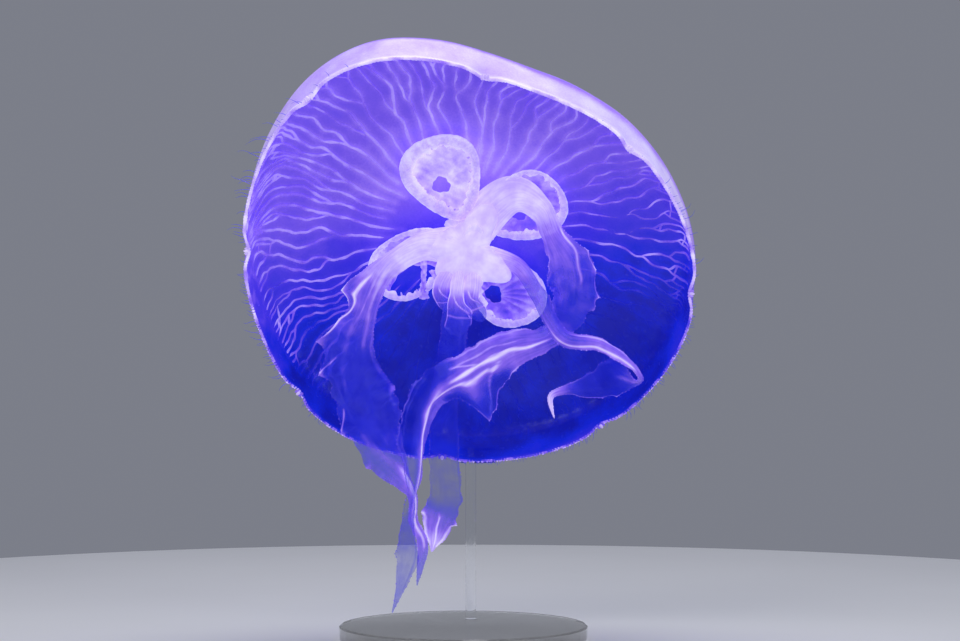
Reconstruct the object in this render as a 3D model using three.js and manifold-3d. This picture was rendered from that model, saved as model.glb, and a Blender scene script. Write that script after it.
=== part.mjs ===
// A moon jellyfish at life size, held by one rod over a round foot, as a museum shows it.
// Millimetres, +Z up. The origin is on the floor, under the middle of the stand's foot.
// The mouth side of the bell looks along -Y and a little down, so its four arms hang free of it.
import * as THREE from 'three';
import { mergeVertices } from 'three/addons/utils/BufferGeometryUtils.js';
import Module from 'manifold-3d';

const wasm = await Module();
wasm.setup();

// Driving dimensions.
const GAP = 0.35; // clear space between two pieces that meet
const BELL_RADIUS = 123.3; // mean radius of the margin
const BELL_HEIGHT = 57; // crown above the plane of the margin
const BELL_SHAPE = 2.15; // 2 is an ellipse, more is a squarer shoulder
const FLANK_HEIGHT = 17; // the flank stands straight up from the margin as far as this
const FLANK_SHARE = 0.14; // the part of the way from crown to margin that the flank takes
const CROWN_LEAN = [3, 9]; // how far the crown leans sideways and upwards as the bell closes
const BELL_TILT = 26; // degrees from lying on its side towards crown up
const BELL_CENTRE = [0, -32, 206]; // middle of the margin, from the middle of the foot
const CROWN_THICKNESS = 18;
const MARGIN_THICKNESS = 1.2;
const CROWN_SHARE = 0.2; // where the crown piece ends and the eight lobes begin
const CROWN_GRID = [4, 28]; // rows down and columns round
const LOBE_GRID = [6, 8];
const LOBES = 8;
const FIRST_RHOPALIUM = 39; // degrees to the first of the eight notches, from +X towards the top
const NOTCH_DEPTH = 3;
const NOTCH_WIDTH = 3.5; // degrees
const NOTCH_FADE = 20; // power of the share: how fast a notch dies out above the margin
const RHOPALIUM = { radius: 1.2, stretch: 1.5, reach: 1.7, sink: 0.8 }; // a club in each notch
const TENTACLES_PER_LOBE = 9;
const TENTACLE_ROOT = 0.55; // radius
const TENTACLE_TIP = 0.3;
const TENTACLE_LENGTH = 3.5; // where the water is still
const TENTACLE_LONG = 5; // above this length a tentacle bends in the middle
const TENTACLE_CURL = 0.35; // sideways, as a share of the length
const TENTACLE_DROOP = 0.25; // what the curl takes off the reach
const TENTACLE_SINK = [0.9, 0.5]; // root below the margin's edge, and below its mouth side
const MOUTH_CENTRE = [3.5, 10]; // across and up the bell's plane
const MOUTH_TURN = 73; // degrees to the first corner of the mouth, where an arm begins
const ARM_ROOT_THICKNESS = 5;
const ARM_EDGE_THICKNESS = 0.9;
const ARM_FOLD = 0.35; // how far the edges fold back behind the midrib, as a share of the width
const ARM_WAVE = 0.1; // height of the waves in the edges, as a share of the width
const ARM_WAVES = 40; // radians of wave along a whole arm
const ARM_NARROWEST = 1.5; // half width
const ARM_ROOT_SHARE = 0.35; // the part of an arm over which its thick root thins out
const ARM_STATION_ROWS = 1.6; // rows of facets to each station
const GONAD_BAND = 3.2; // half thickness of the band round each gonad
const GONAD_LEVEL = 28.5; // height of the bands above the plane of the margin
const GONAD_FRILLS = 7;
const GONAD_FRILL = 0.03; // as a share of the gonad's own size
const POUCH_THICKNESS = 1.2;
const POUCH_DOME = 4; // how far the middle of a pouch rises off the level of its band
const FOOT_RADIUS = 70;
const FOOT_THICKNESS = 8;
const FOOT_CHAMFER = 1;
const ROD_RADIUS = 3;
const ROD_PLACE = [4, 29]; // across and back
const ROD_SOCKET = 5; // depth of the hole in the foot
const ROD_TOP = 106; // before the bell's flank cuts it to fit
const SADDLE_PLACE = 273; // degrees round the rim
const SADDLE_SPREAD = 5.5; // degrees to each side
const SADDLE_RUN = [0.9, 0.985]; // shares of the way to the margin
const SADDLE_THICKNESS = 2.2;
const SADDLE_ROOM = { spread: 8, run: [0.86, 1], depth: 8 }; // what the bell takes out of the rod

// The margin isn't round: waves round the rim, as [how many, share of the radius, first crest].
const RIM_WAVES = [
  [2, 0.0454, -36.6],
  [3, 0.0349, -2],
  [4, 0.0127, 35.8],
  [5, 0.0045, -33.7],
  [6, 0.0073, -7.4],
];

// Where the tentacles are drawn out longer: [degrees round the rim, width in degrees, extra length].
const TENTACLE_DRAW = [
  [150, 40, 6],
  [10, 14, 8],
  [205, 20, 3],
];

// The section of a gonad outside its hole: [share of the way out, share of GONAD_BAND], or a
// null thickness for the skin of the pouch.
const GONAD_SECTION = [
  [0.62, null],
  [0.84, null],
  [0.91, 0.8],
  [1, 1],
  [1.1, 0.7],
  [1.13, null],
];

// The mouth's outline from the middle of its root to the bottom of its funnel: [radius, level].
const MOUTH_OUTLINE = [
  [0, -34.5],
  [12, -34.5],
  [9.5, -28],
  [8.5, -21],
  [9, -15],
  [11.5, -9],
  [9.5, -8],
  [4.5, -14],
  [0, -18],
];
const MOUTH_SQUARENESS = 0.22;

// Gonads: centre across and up the bell's plane, half length, half width, heading of the round
// end in degrees, how much the end at the mouth narrows, and the size of the hole in the pouch.
const GONADS = {
  gonad_top: { at: [-9.5, 43], half: [23, 18], heading: 112, pinch: 0.45, hole: 0.24 },
  gonad_right: { at: [34, 26], half: [22, 18], heading: 30, pinch: 0.3, hole: 0.2 },
  gonad_left: { at: [-29.5, -7.4], half: [24, 17.5], heading: 222, pinch: 0.2, hole: 0.5 },
  gonad_bottom: { at: [26, -26], half: [20, 18], heading: 300, pinch: 0.1, hole: 0.25 },
};

// Oral arms. Stations from the mouth to the tip, measured from the middle of the margin:
// [across, back, up, half width on the left of the run, half width on its right, twist].
const ARMS = {
  arm_left: {
    cuts: [0, 0.32, 0.66, 1],
    stations: [
      [-4, 12, 15, 6, 6, 0],
      [-23, 1, 19, 7, 7, 0],
      [-40, -3, 12, 7, 7, 0],
      [-49, -1, -4, 7, 6, 0],
      [-56, 5, -24, 9, 8, 0],
      [-62, 11, -45, 15, 12, 10],
      [-60, 16, -68, 12, 20, 0],
      [-52, 21, -88, 11, 19, 0],
      [-38, 27, -107, 11, 7, 20],
      [-28, 30, -124, 4, 3, 40],
      [-25, 31, -150, 3, 3, 40],
      [-27, 28, -184, 2, 2, 0],
    ],
  },
  arm_right: {
    cuts: [0, 0.3, 0.62, 1],
    stations: [
      [9, 13, 21, 6, 6, 0],
      [28, 3, 37, 6, 6, 0],
      [44, -2, 35, 7, 7, 0],
      [50, 0, 20, 7, 6, 0],
      [61, 5, 2, 14, 9, 0],
      [62, 12, -18, 13, 8, 0],
      [49, 20, -36, 6, 5, 0],
      [24, 22, -43, 9, 12, 0],
      [3, 22, -55, 9, 19, 10],
      [-16, 22, -70, 9, 7, 30],
      [-25, 22, -90, 7, 4, 55],
      [-28, 21, -112, 4, 3, 65],
      [-33, 22, -138, 5, 4, 45],
      [-35, 24, -162, 6, 5, 10],
      [-41, 26, -191, 2, 2, 0],
    ],
  },
  arm_hooked: {
    cuts: [0, 0.4, 1],
    stations: [
      [13, 11, 9, 5, 5, 0],
      [30, 4, 3, 5, 5, 0],
      [44, 4, -12, 5, 5, 0],
      [55, 9, -36, 5, 5, 0],
      [76, 13, -40, 5, 5, 20],
      [93, 15, -50, 4, 4, 45],
      [99, 19, -60, 4, 4, 60],
      [88, 24, -64, 6, 8, 40],
      [71, 28, -65, 6, 5, 20],
      [55, 30, -68, 3, 3, 0],
      [51, 29, -81, 2, 2, 0],
    ],
  },
  arm_trailing: {
    cuts: [0, 0.45, 1],
    stations: [
      [0, 11, 3, 5, 5, 0],
      [-3, 12, -18, 6, 6, 0],
      [-7, 27, -43, 7, 8, 0],
      [-11, 37, -72, 8, 8, 0],
      [-12, 42, -101, 8, 8, 10],
      [-10, 44, -128, 8, 7, 20],
      [-16, 39, -157, 3, 3, 20],
    ],
  },
};

const radians = THREE.MathUtils.degToRad;
const lerp = THREE.MathUtils.lerp;
const smooth = THREE.MathUtils.smoothstep;

// ---------------------------------------------------------------------------
// Closed solids
// ---------------------------------------------------------------------------

// The solid between two surfaces of (row share, column share). With wraps, the columns run round
// a full turn. Front faces have their rows, columns and outward normal in right-handed order.
function solidBetween(front, back, rows, cols, wraps = false) {
  const points = [];
  for (const surface of [front, back]) {
    for (let i = 0; i <= rows; i++) {
      for (let j = 0; j <= cols; j++) {
        points.push(...surface(i / rows, wraps && j === cols ? 0 : j / cols).toArray());
      }
    }
  }
  const at = (side, i, j) => (side * (rows + 1) + i) * (cols + 1) + j;
  const faces = [];
  const quad = (a, b, c, d) => faces.push(a, b, c, a, c, d);
  for (let i = 0; i < rows; i++) {
    for (let j = 0; j < cols; j++) {
      quad(at(0, i, j), at(0, i + 1, j), at(0, i + 1, j + 1), at(0, i, j + 1));
      quad(at(1, i, j), at(1, i, j + 1), at(1, i + 1, j + 1), at(1, i + 1, j));
    }
  }
  for (let j = 0; j < cols; j++) {
    quad(at(0, 0, j), at(0, 0, j + 1), at(1, 0, j + 1), at(1, 0, j));
    quad(at(0, rows, j + 1), at(0, rows, j), at(1, rows, j), at(1, rows, j + 1));
  }
  for (let i = 0; i < rows && !wraps; i++) {
    quad(at(0, i + 1, 0), at(0, i, 0), at(1, i, 0), at(1, i + 1, 0));
    quad(at(0, i, cols), at(0, i + 1, cols), at(1, i + 1, cols), at(1, i, cols));
  }
  const geometry = new THREE.BufferGeometry();
  geometry.setAttribute('position', new THREE.Float32BufferAttribute(points, 3));
  geometry.setIndex(faces);
  return welded(geometry);
}

// The same geometry with shared vertices, and without the slivers that a pole leaves.
function welded(geometry) {
  const bare = geometry.clone();
  bare.deleteAttribute('normal');
  bare.deleteAttribute('uv');
  const merged = mergeVertices(bare, 1e-3);
  const index = merged.index.array;
  const kept = [];
  for (let i = 0; i < index.length; i += 3) {
    const [a, b, c] = index.subarray(i, i + 3);
    if (a !== b && b !== c && c !== a) kept.push(a, b, c);
  }
  merged.setIndex(kept);
  return merged;
}

function toManifold(geometry) {
  const merged = welded(geometry);
  return new wasm.Manifold(
    new wasm.Mesh({
      numProp: 3,
      vertProperties: merged.attributes.position.array,
      triVerts: new Uint32Array(merged.index.array),
    }),
  );
}

function toGeometry(manifold) {
  const { vertProperties, triVerts } = manifold.getMesh();
  const geometry = new THREE.BufferGeometry();
  geometry.setAttribute('position', new THREE.BufferAttribute(new Float32Array(vertProperties), 3));
  geometry.setIndex(new THREE.BufferAttribute(new Uint32Array(triVerts), 1));
  return geometry;
}

// Moves every vertex of a geometry by a function of its place.
function bent(geometry, move) {
  const place = geometry.attributes.position;
  const point = new THREE.Vector3();
  for (let i = 0; i < place.count; i++) {
    point.fromBufferAttribute(place, i);
    place.setXYZ(i, ...move(point).toArray());
  }
  return geometry;
}

// ---------------------------------------------------------------------------
// The bell, mouth up: z is 0 at the margin and falls to the crown
// ---------------------------------------------------------------------------

function rhopaliumAngle(k) {
  return radians(FIRST_RHOPALIUM + (k * 360) / LOBES);
}

function marginRadius(angle) {
  let share = 1;
  for (const [waves, size, crest] of RIM_WAVES) {
    share += size * Math.cos(waves * (angle - radians(crest)));
  }
  return BELL_RADIUS * share;
}

// How deep the margin is notched at this angle.
function notch(angle) {
  const step = radians(360 / LOBES);
  const turns = (angle - rhopaliumAngle(0)) / step;
  const away = (turns - Math.round(turns)) * step;
  return NOTCH_DEPTH * Math.exp(-((away / radians(NOTCH_WIDTH)) ** 2));
}

// The outer profile as [share of the radius, height], from crown (0) to margin (1).
function profile(share) {
  const shoulder = 1 - FLANK_SHARE;
  if (share > shoulder) return [1, (FLANK_HEIGHT * (1 - share)) / FLANK_SHARE];
  const turn = (share / shoulder) * (Math.PI / 2);
  const reach = Math.sin(turn) ** (2 / BELL_SHAPE);
  const rise = Math.max(Math.cos(turn), 0) ** (2 / BELL_SHAPE);
  return [reach, lerp(FLANK_HEIGHT, BELL_HEIGHT, rise)];
}

function bellThickness(share) {
  return lerp(MARGIN_THICKNESS, CROWN_THICKNESS, (1 - share ** 2) ** 1.5);
}

// A point of the bell at this angle, this share of the way down, and this deep below the outside.
function bellPoint(angle, share, depth) {
  const step = 0.01;
  const [r0, h0] = profile(Math.max(share - step, 0));
  const [r1, h1] = profile(Math.min(share + step, 1));
  const along = new THREE.Vector2((r1 - r0) * BELL_RADIUS, h1 - h0).normalize();
  const [reach, height] = profile(share);
  const cut = notch(angle) * share ** NOTCH_FADE;
  const radius = Math.max(reach * marginRadius(angle) - cut + along.y * depth, 0);
  const rise = height - along.x * depth;
  const lean = rise / BELL_HEIGHT;
  return new THREE.Vector3(
    radius * Math.cos(angle) + CROWN_LEAN[0] * lean,
    radius * Math.sin(angle) + CROWN_LEAN[1] * lean,
    -rise,
  );
}

const outside = (angle, share) => bellPoint(angle, share, 0);
const inside = (angle, share) => bellPoint(angle, share, bellThickness(share));

function crown() {
  const turn = (column) => 2 * Math.PI * column;
  return solidBetween(
    (row, column) => inside(turn(column), row * CROWN_SHARE),
    (row, column) => outside(turn(column), row * CROWN_SHARE),
    ...CROWN_GRID,
    true,
  );
}

// How far the outside runs for a whole share, at this share of the way down.
function runPerShare(share) {
  const step = 0.01;
  return outside(0, share).distanceTo(outside(0, share + step)) / step;
}

// One lobe, from the crown to the margin and from one notch to the next.
function lobeShell(k) {
  const first = CROWN_SHARE + GAP / runPerShare(CROWN_SHARE);
  const place = (surface) => (row, column) => {
    const share = lerp(first, 1, row);
    const radius = profile(share)[0] * BELL_RADIUS;
    const side = GAP / 2 / radius;
    const eased = (1 - Math.cos(Math.PI * column)) / 2;
    const angle = lerp(rhopaliumAngle(k) + side, rhopaliumAngle(k + 1) - side, eased);
    return surface(angle, share);
  };
  return solidBetween(place(inside), place(outside), ...LOBE_GRID);
}

// Tentacles are longest where the current draws them out, at the two sides of the bell.
function tentacleLength(angle) {
  let length = TENTACLE_LENGTH;
  for (const [middle, width, extra] of TENTACLE_DRAW) {
    const off = angle - radians(middle);
    const away = Math.atan2(Math.sin(off), Math.cos(off));
    length += extra * Math.exp(-((away / radians(width)) ** 2));
  }
  return length;
}

// One tentacle: a slim three-sided spike that leaves the margin outwards and curls sideways.
function tentacle(angle) {
  const length = tentacleLength(angle);
  const joints = length > TENTACLE_LONG ? 2 : 1;
  const spike = new THREE.CylinderGeometry(TENTACLE_TIP, TENTACLE_ROOT, length, 3, joints);
  const root = bellPoint(angle, 1, MARGIN_THICKNESS / 2);
  const out = new THREE.Vector3(Math.cos(angle), Math.sin(angle), 0);
  const side = new THREE.Vector3(-Math.sin(angle), Math.cos(angle), 0);
  const up = new THREE.Vector3(0, 0, 1);
  const curl = TENTACLE_CURL * Math.sin(3 * angle + 1);
  return bent(spike, (point) => {
    const run = point.y + length / 2;
    const far = run / length;
    return root
      .clone()
      .addScaledVector(out, run * (1 - TENTACLE_DROOP * far) - TENTACLE_SINK[0])
      .addScaledVector(side, curl * length * far ** 2 - point.x)
      .addScaledVector(up, point.z + TENTACLE_CURL * run * far - TENTACLE_SINK[1]);
  });
}

function lobe(k) {
  let body = toManifold(lobeShell(k));
  for (let i = 0; i < TENTACLES_PER_LOBE; i++) {
    const angle = lerp(rhopaliumAngle(k), rhopaliumAngle(k + 1), (i + 1) / (TENTACLES_PER_LOBE + 1));
    body = body.add(toManifold(tentacle(angle)));
  }
  return toGeometry(body);
}

// The sense organ in each notch: a small club on the margin.
function rhopalium(k) {
  const { radius, stretch, reach, sink } = RHOPALIUM;
  const club = new THREE.SphereGeometry(radius, 6, 3);
  const angle = rhopaliumAngle(k);
  const place = bellPoint(angle, 1, MARGIN_THICKNESS / 2);
  place.add(new THREE.Vector3(Math.cos(angle) * reach, Math.sin(angle) * reach, sink));
  club.scale(1, 1, stretch);
  club.translate(...place.toArray());
  return club;
}

// ---------------------------------------------------------------------------
// Gonads and mouth, in the bell's frame
// ---------------------------------------------------------------------------

// The middle line of a gonad's band: an egg with its narrow end towards the mouth.
function gonadLine({ at, half, heading, pinch }, turn) {
  const along = half[0] * Math.cos(turn);
  const across = half[1] * Math.sin(turn) * (1 + pinch * Math.cos(turn));
  const way = radians(heading);
  return new THREE.Vector3(
    at[0] + along * Math.cos(way) - across * Math.sin(way),
    at[1] + along * Math.sin(way) + across * Math.cos(way),
    -GONAD_LEVEL,
  );
}

// A gonad and its pouch: a thin dome with a round hole, that thickens to a frilled band outside.
function gonad(size) {
  const section = [[size.hole, null], ...GONAD_SECTION];
  const middle = new THREE.Vector3(...size.at, -GONAD_LEVEL);
  const surface = (side) => (row, column) => {
    const [share, band] = section[Math.round(row * (section.length - 1))];
    const half = band === null ? POUCH_THICKNESS / 2 : GONAD_BAND * band;
    const turn = 2 * Math.PI * column;
    const frill = share > 0.9 ? GONAD_FRILL * Math.cos(GONAD_FRILLS * turn) : 0;
    const point = middle.clone().lerp(gonadLine(size, turn), share + frill);
    point.z += side * half - POUCH_DOME * Math.max(1 - share ** 2, 0);
    return point;
  };
  return solidBetween(surface(1), surface(-1), section.length - 1, 18, true);
}

// The mouth: a four-cornered tube, wide at its root, with flared lips and a funnel in the end.
function mouth(grow = 0) {
  const outline = MOUTH_OUTLINE.map(
    ([radius, level]) => new THREE.Vector2(radius + (radius ? grow : 0), level),
  );
  const funnel = new THREE.LatheGeometry(outline, 20);
  funnel.rotateX(Math.PI / 2);
  const [across, up] = MOUTH_CENTRE;
  const corners = (point) => {
    const turn = Math.atan2(point.y, point.x);
    const share = 1 + MOUTH_SQUARENESS * Math.cos(4 * (turn - radians(MOUTH_TURN)));
    return new THREE.Vector3(across + point.x * share, up + point.y * share, point.z);
  };
  return bent(funnel, corners);
}

// ---------------------------------------------------------------------------
// Oral arms, hanging in the room's frame from the middle of the margin
// ---------------------------------------------------------------------------

// One number of the stations, smoothly, at this share of the run.
function along(stations, item, share) {
  const last = stations.length - 1;
  const run = Math.min(Math.max(share, 0), 1) * last;
  const i = Math.min(Math.floor(run), last - 1);
  const f = run - i;
  const value = (k) => stations[Math.min(Math.max(k, 0), last)][item];
  const [a, b, c, d] = [value(i - 1), value(i), value(i + 1), value(i + 2)];
  return b + 0.5 * f * (c - a + f * (2 * a - 5 * b + 4 * c - d + f * (3 * (b - c) + d - a)));
}

function armMidrib(stations, share) {
  return new THREE.Vector3(...[0, 1, 2].map((item) => along(stations, item, share)));
}

// A point of an arm: share of the run, place across it from -1 to 1, and height off its face.
function armPoint(stations, share, across, side) {
  const step = 0.01;
  const tangent = armMidrib(stations, share + step).sub(armMidrib(stations, share - step)).normalize();
  const facing = new THREE.Vector3(0, -1, 0);
  const left = tangent.clone().cross(facing).normalize();
  const normal = left.clone().cross(tangent);
  const twist = radians(along(stations, 5, share));
  const spread = left.clone().multiplyScalar(Math.cos(twist)).addScaledVector(normal, Math.sin(twist));
  const face = spread.clone().cross(tangent);
  const width = Math.max(along(stations, across > 0 ? 3 : 4, share), ARM_NARROWEST);
  const waves = ARM_WAVE * width * across ** 2 * Math.sin(ARM_WAVES * share + 2 * across);
  const root = 1 - smooth(share, 0, ARM_ROOT_SHARE);
  const rib = lerp(ARM_EDGE_THICKNESS, ARM_ROOT_THICKNESS, root) / 2;
  const thickness = lerp(rib, ARM_EDGE_THICKNESS / 2, across ** 2);
  const fold = ARM_FOLD * width * (1 - Math.sqrt(1 + 3 * across ** 2)) + waves;
  return armMidrib(stations, share)
    .addScaledVector(spread, across * width)
    .addScaledVector(face, fold + side * thickness);
}

function armRun({ stations }) {
  const places = stations.map((station) => new THREE.Vector3(...station));
  return places.reduce((sum, place, i) => sum + (i ? place.distanceTo(places[i - 1]) : 0), 0);
}

function armLength({ stations }, from, to) {
  const steps = Math.round((to - from) * stations.length * ARM_STATION_ROWS);
  const place = (side) => (row, column) => armPoint(stations, lerp(from, to, row), 1 - 2 * column, side);
  return solidBetween(place(1), place(-1), steps, 4);
}

// ---------------------------------------------------------------------------
// The stand, in the room's frame
// ---------------------------------------------------------------------------

function foot() {
  const edge = FOOT_RADIUS - FOOT_CHAMFER;
  const disc = new THREE.LatheGeometry(
    [
      [0, 0],
      [edge, 0],
      [FOOT_RADIUS, FOOT_CHAMFER],
      [FOOT_RADIUS, FOOT_THICKNESS - FOOT_CHAMFER],
      [edge, FOOT_THICKNESS],
      [0, FOOT_THICKNESS],
    ].map(([radius, height]) => new THREE.Vector2(radius, height)),
    32,
  );
  disc.rotateX(Math.PI / 2);
  const socket = new THREE.CylinderGeometry(ROD_RADIUS + GAP, ROD_RADIUS + GAP, 2 * ROD_SOCKET, 16);
  socket.rotateX(Math.PI / 2).translate(...ROD_PLACE, FOOT_THICKNESS);
  return toGeometry(toManifold(disc).subtract(toManifold(socket)));
}

// A patch of the bell's flank about the saddle's place, from one depth to another.
function flankPatch(bellFrame, spread, [from, to], near, far) {
  const surface = (depth) => (row, column) => {
    const angle = radians(SADDLE_PLACE + lerp(-spread, spread, column));
    return bellPoint(angle, lerp(from, to, row), depth);
  };
  const solid = solidBetween(surface(near), surface(far), 3, 6);
  return toManifold(solid.applyMatrix4(bellFrame.matrixWorld));
}

// The rod, with a saddle on its top that follows the bell's flank a gap away from it.
function rod(bellFrame) {
  bellFrame.updateMatrixWorld();
  const { spread, run, depth } = SADDLE_ROOM;
  const saddle = flankPatch(bellFrame, SADDLE_SPREAD, SADDLE_RUN, 0, -GAP - SADDLE_THICKNESS);
  const room = flankPatch(bellFrame, spread, run, depth, -GAP);
  const bottom = FOOT_THICKNESS - ROD_SOCKET + GAP;
  const shaft = new THREE.CylinderGeometry(ROD_RADIUS, ROD_RADIUS, ROD_TOP - bottom, 16);
  shaft.rotateX(Math.PI / 2).translate(...ROD_PLACE, (ROD_TOP + bottom) / 2);
  return toGeometry(toManifold(shaft).add(saddle).subtract(room));
}

// ---------------------------------------------------------------------------
// Materials and the scene graph
// ---------------------------------------------------------------------------

function finish(color, roughness, opacity = 1) {
  return new THREE.MeshStandardMaterial({
    color,
    roughness,
    metalness: 0,
    opacity,
    transparent: opacity < 1,
  });
}

const JELLY = finish(0x5a48d8, 0.25, 0.6);
const GONAD = finish(0xcabcf6, 0.35);
const ARM = finish(0x8a74ea, 0.3, 0.8);
const SENSE = finish(0xe6ddff, 0.4);
const ACRYLIC = finish(0xdfe6ee, 0.1, 0.35);

function mesh(name, geometry, material) {
  const made = new THREE.Mesh(geometry, material);
  made.name = name;
  return made;
}

const bell = new THREE.Group();
bell.position.set(...BELL_CENTRE);
bell.rotation.x = radians(90 + BELL_TILT);
bell.add(mesh('bell_crown', crown(), JELLY));
for (let k = 0; k < LOBES; k++) {
  bell.add(mesh(`bell_lobe_${k + 1}`, lobe(k), JELLY));
  bell.add(mesh(`rhopalium_${k + 1}`, rhopalium(k), SENSE));
}
for (const [name, size] of Object.entries(GONADS)) {
  bell.add(mesh(name, gonad(size), GONAD));
}
bell.add(mesh('mouth', mouth(), GONAD));

const jellyfish = new THREE.Group();
jellyfish.add(bell);

// The arms hang from the mouth, and are cut back to clear it.
const arms = new THREE.Group();
arms.position.set(...BELL_CENTRE);
const mouthRoom = toManifold(mouth(GAP).rotateX(bell.rotation.x));
const PARTS = { 2: ['root', 'tip'], 3: ['root', 'middle', 'tip'] };
for (const [name, arm] of Object.entries(ARMS)) {
  const labels = PARTS[arm.cuts.length - 1];
  labels.forEach((label, i) => {
    const spare = i === 0 ? 0 : (1.5 * GAP) / armRun(arm);
    let length = armLength(arm, arm.cuts[i] + spare, arm.cuts[i + 1]);
    if (i === 0) length = toGeometry(toManifold(length).subtract(mouthRoom));
    arms.add(mesh(`${name}_${label}`, length, ARM));
  });
}
jellyfish.add(arms);

jellyfish.add(mesh('stand_foot', foot(), ACRYLIC));
jellyfish.add(mesh('stand_rod', rod(bell), ACRYLIC));

export default jellyfish;
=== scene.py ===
"""A life-size moon jellyfish on a clear display stand.

Every soft piece is a surface worked out with numpy, in millimetres, and written in metres.
The bell has its own frame: x across, y up the plane of the margin, z out of the mouth.
"""
import math

import bmesh
import bpy
import numpy as np
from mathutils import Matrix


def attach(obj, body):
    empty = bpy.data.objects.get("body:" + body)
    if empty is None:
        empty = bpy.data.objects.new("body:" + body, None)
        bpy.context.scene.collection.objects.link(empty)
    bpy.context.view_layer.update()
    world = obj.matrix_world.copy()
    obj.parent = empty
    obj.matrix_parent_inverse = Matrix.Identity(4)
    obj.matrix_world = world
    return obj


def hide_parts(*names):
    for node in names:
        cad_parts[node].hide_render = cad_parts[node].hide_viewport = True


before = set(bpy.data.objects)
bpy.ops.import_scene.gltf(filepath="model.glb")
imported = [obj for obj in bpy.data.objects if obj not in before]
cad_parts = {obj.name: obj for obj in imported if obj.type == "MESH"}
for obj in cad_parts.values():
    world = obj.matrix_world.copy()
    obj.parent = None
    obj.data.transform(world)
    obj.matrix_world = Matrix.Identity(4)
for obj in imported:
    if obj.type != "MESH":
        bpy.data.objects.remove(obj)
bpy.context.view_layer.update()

bl_info = {
    "name": "Moon Jellyfish Model",
    "version": (1, 0, 0),
    "blender": (4, 5, 0),
    "location": "3D View > Sidebar > Jellyfish",
    "description": "Builds a life-size moon jellyfish on its display stand",
    "category": "Object",
}

MM = 0.001
TAU = 2 * np.pi

# --- The body plan, the same as the solid model's ---

BELL_RADIUS = 123.3
BELL_HEIGHT = 57.0
BELL_SHAPE = 2.15
FLANK_HEIGHT = 17.0
FLANK_SHARE = 0.14
CROWN_LEAN = (3.0, 9.0)
BELL_TILT = math.radians(26)
BELL_CENTRE = (0.0, -32.0, 206.0)
CROWN_THICKNESS = 18.0
MARGIN_THICKNESS = 1.2
LOBES = 8
FIRST_RHOPALIUM = 39.0
NOTCH_DEPTH = 3.0
NOTCH_WIDTH = 3.5
NOTCH_FADE = 20
RIM_WAVES = (
    (2, 0.0454, -36.6),
    (3, 0.0349, -2.0),
    (4, 0.0127, 35.8),
    (5, 0.0045, -33.7),
    (6, 0.0073, -7.4),
)
MOUTH_CENTRE = (3.5, 10.0)
MOUTH_TURN = math.radians(73)
GONAD_LEVEL = 28.5

# Gonads, across and up in the bell's frame: middle, half length and width, heading of the round
# end, and how much the end at the mouth narrows. Then half width of the band, and the heading
# where it is thin and by how much. Then how milky the pouch is, the middle, half sizes and turn of
# its hole, how bright the hole's rim is, and the height of the pleats. Strands that cross the hole
# have a start, an end and a half width.
GONADS = {
    "gonad_top": dict(
        at=(-9.5, 43), half=(23, 18), heading=112, pinch=0.45, band=3.6, thin=(20, 0.35),
        veil=0.82, hole=(-12.2, 38.1), hole_half=(5.0, 4.8), hole_turn=0, rim=0.05,
        pleats=0.25, strands=(), seed=3),
    "gonad_right": dict(
        at=(34, 26), half=(22, 18), heading=30, pinch=0.3, band=2.3, thin=(55, 0.4),
        veil=0.58, hole=(30.9, 20.3), hole_half=(4.6, 3.4), hole_turn=-10, rim=0.05,
        pleats=0.3, strands=(), seed=5),
    "gonad_left": dict(
        at=(-29.5, -7.4), half=(24, 17.5), heading=222, pinch=0.2, band=2.0, thin=(120, 0.4),
        veil=0.66, hole=(-27.0, -20.0), hole_half=(15.5, 8.4), hole_turn=24, rim=0.12,
        pleats=0.3, strands=(((-22.5, -3), (-22.5, -30), 1.7), ((-11, -11), (-17.5, -15.5), 2.2)),
        seed=8),
    "gonad_bottom": dict(
        at=(26, -26), half=(20, 18), heading=300, pinch=0.1, band=2.4, thin=(60, 0.5),
        veil=0.60, hole=(17.0, -29.0), hole_half=(4.6, 5.6), hole_turn=20, rim=0.08,
        pleats=0.8, strands=(), seed=11),
}

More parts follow.
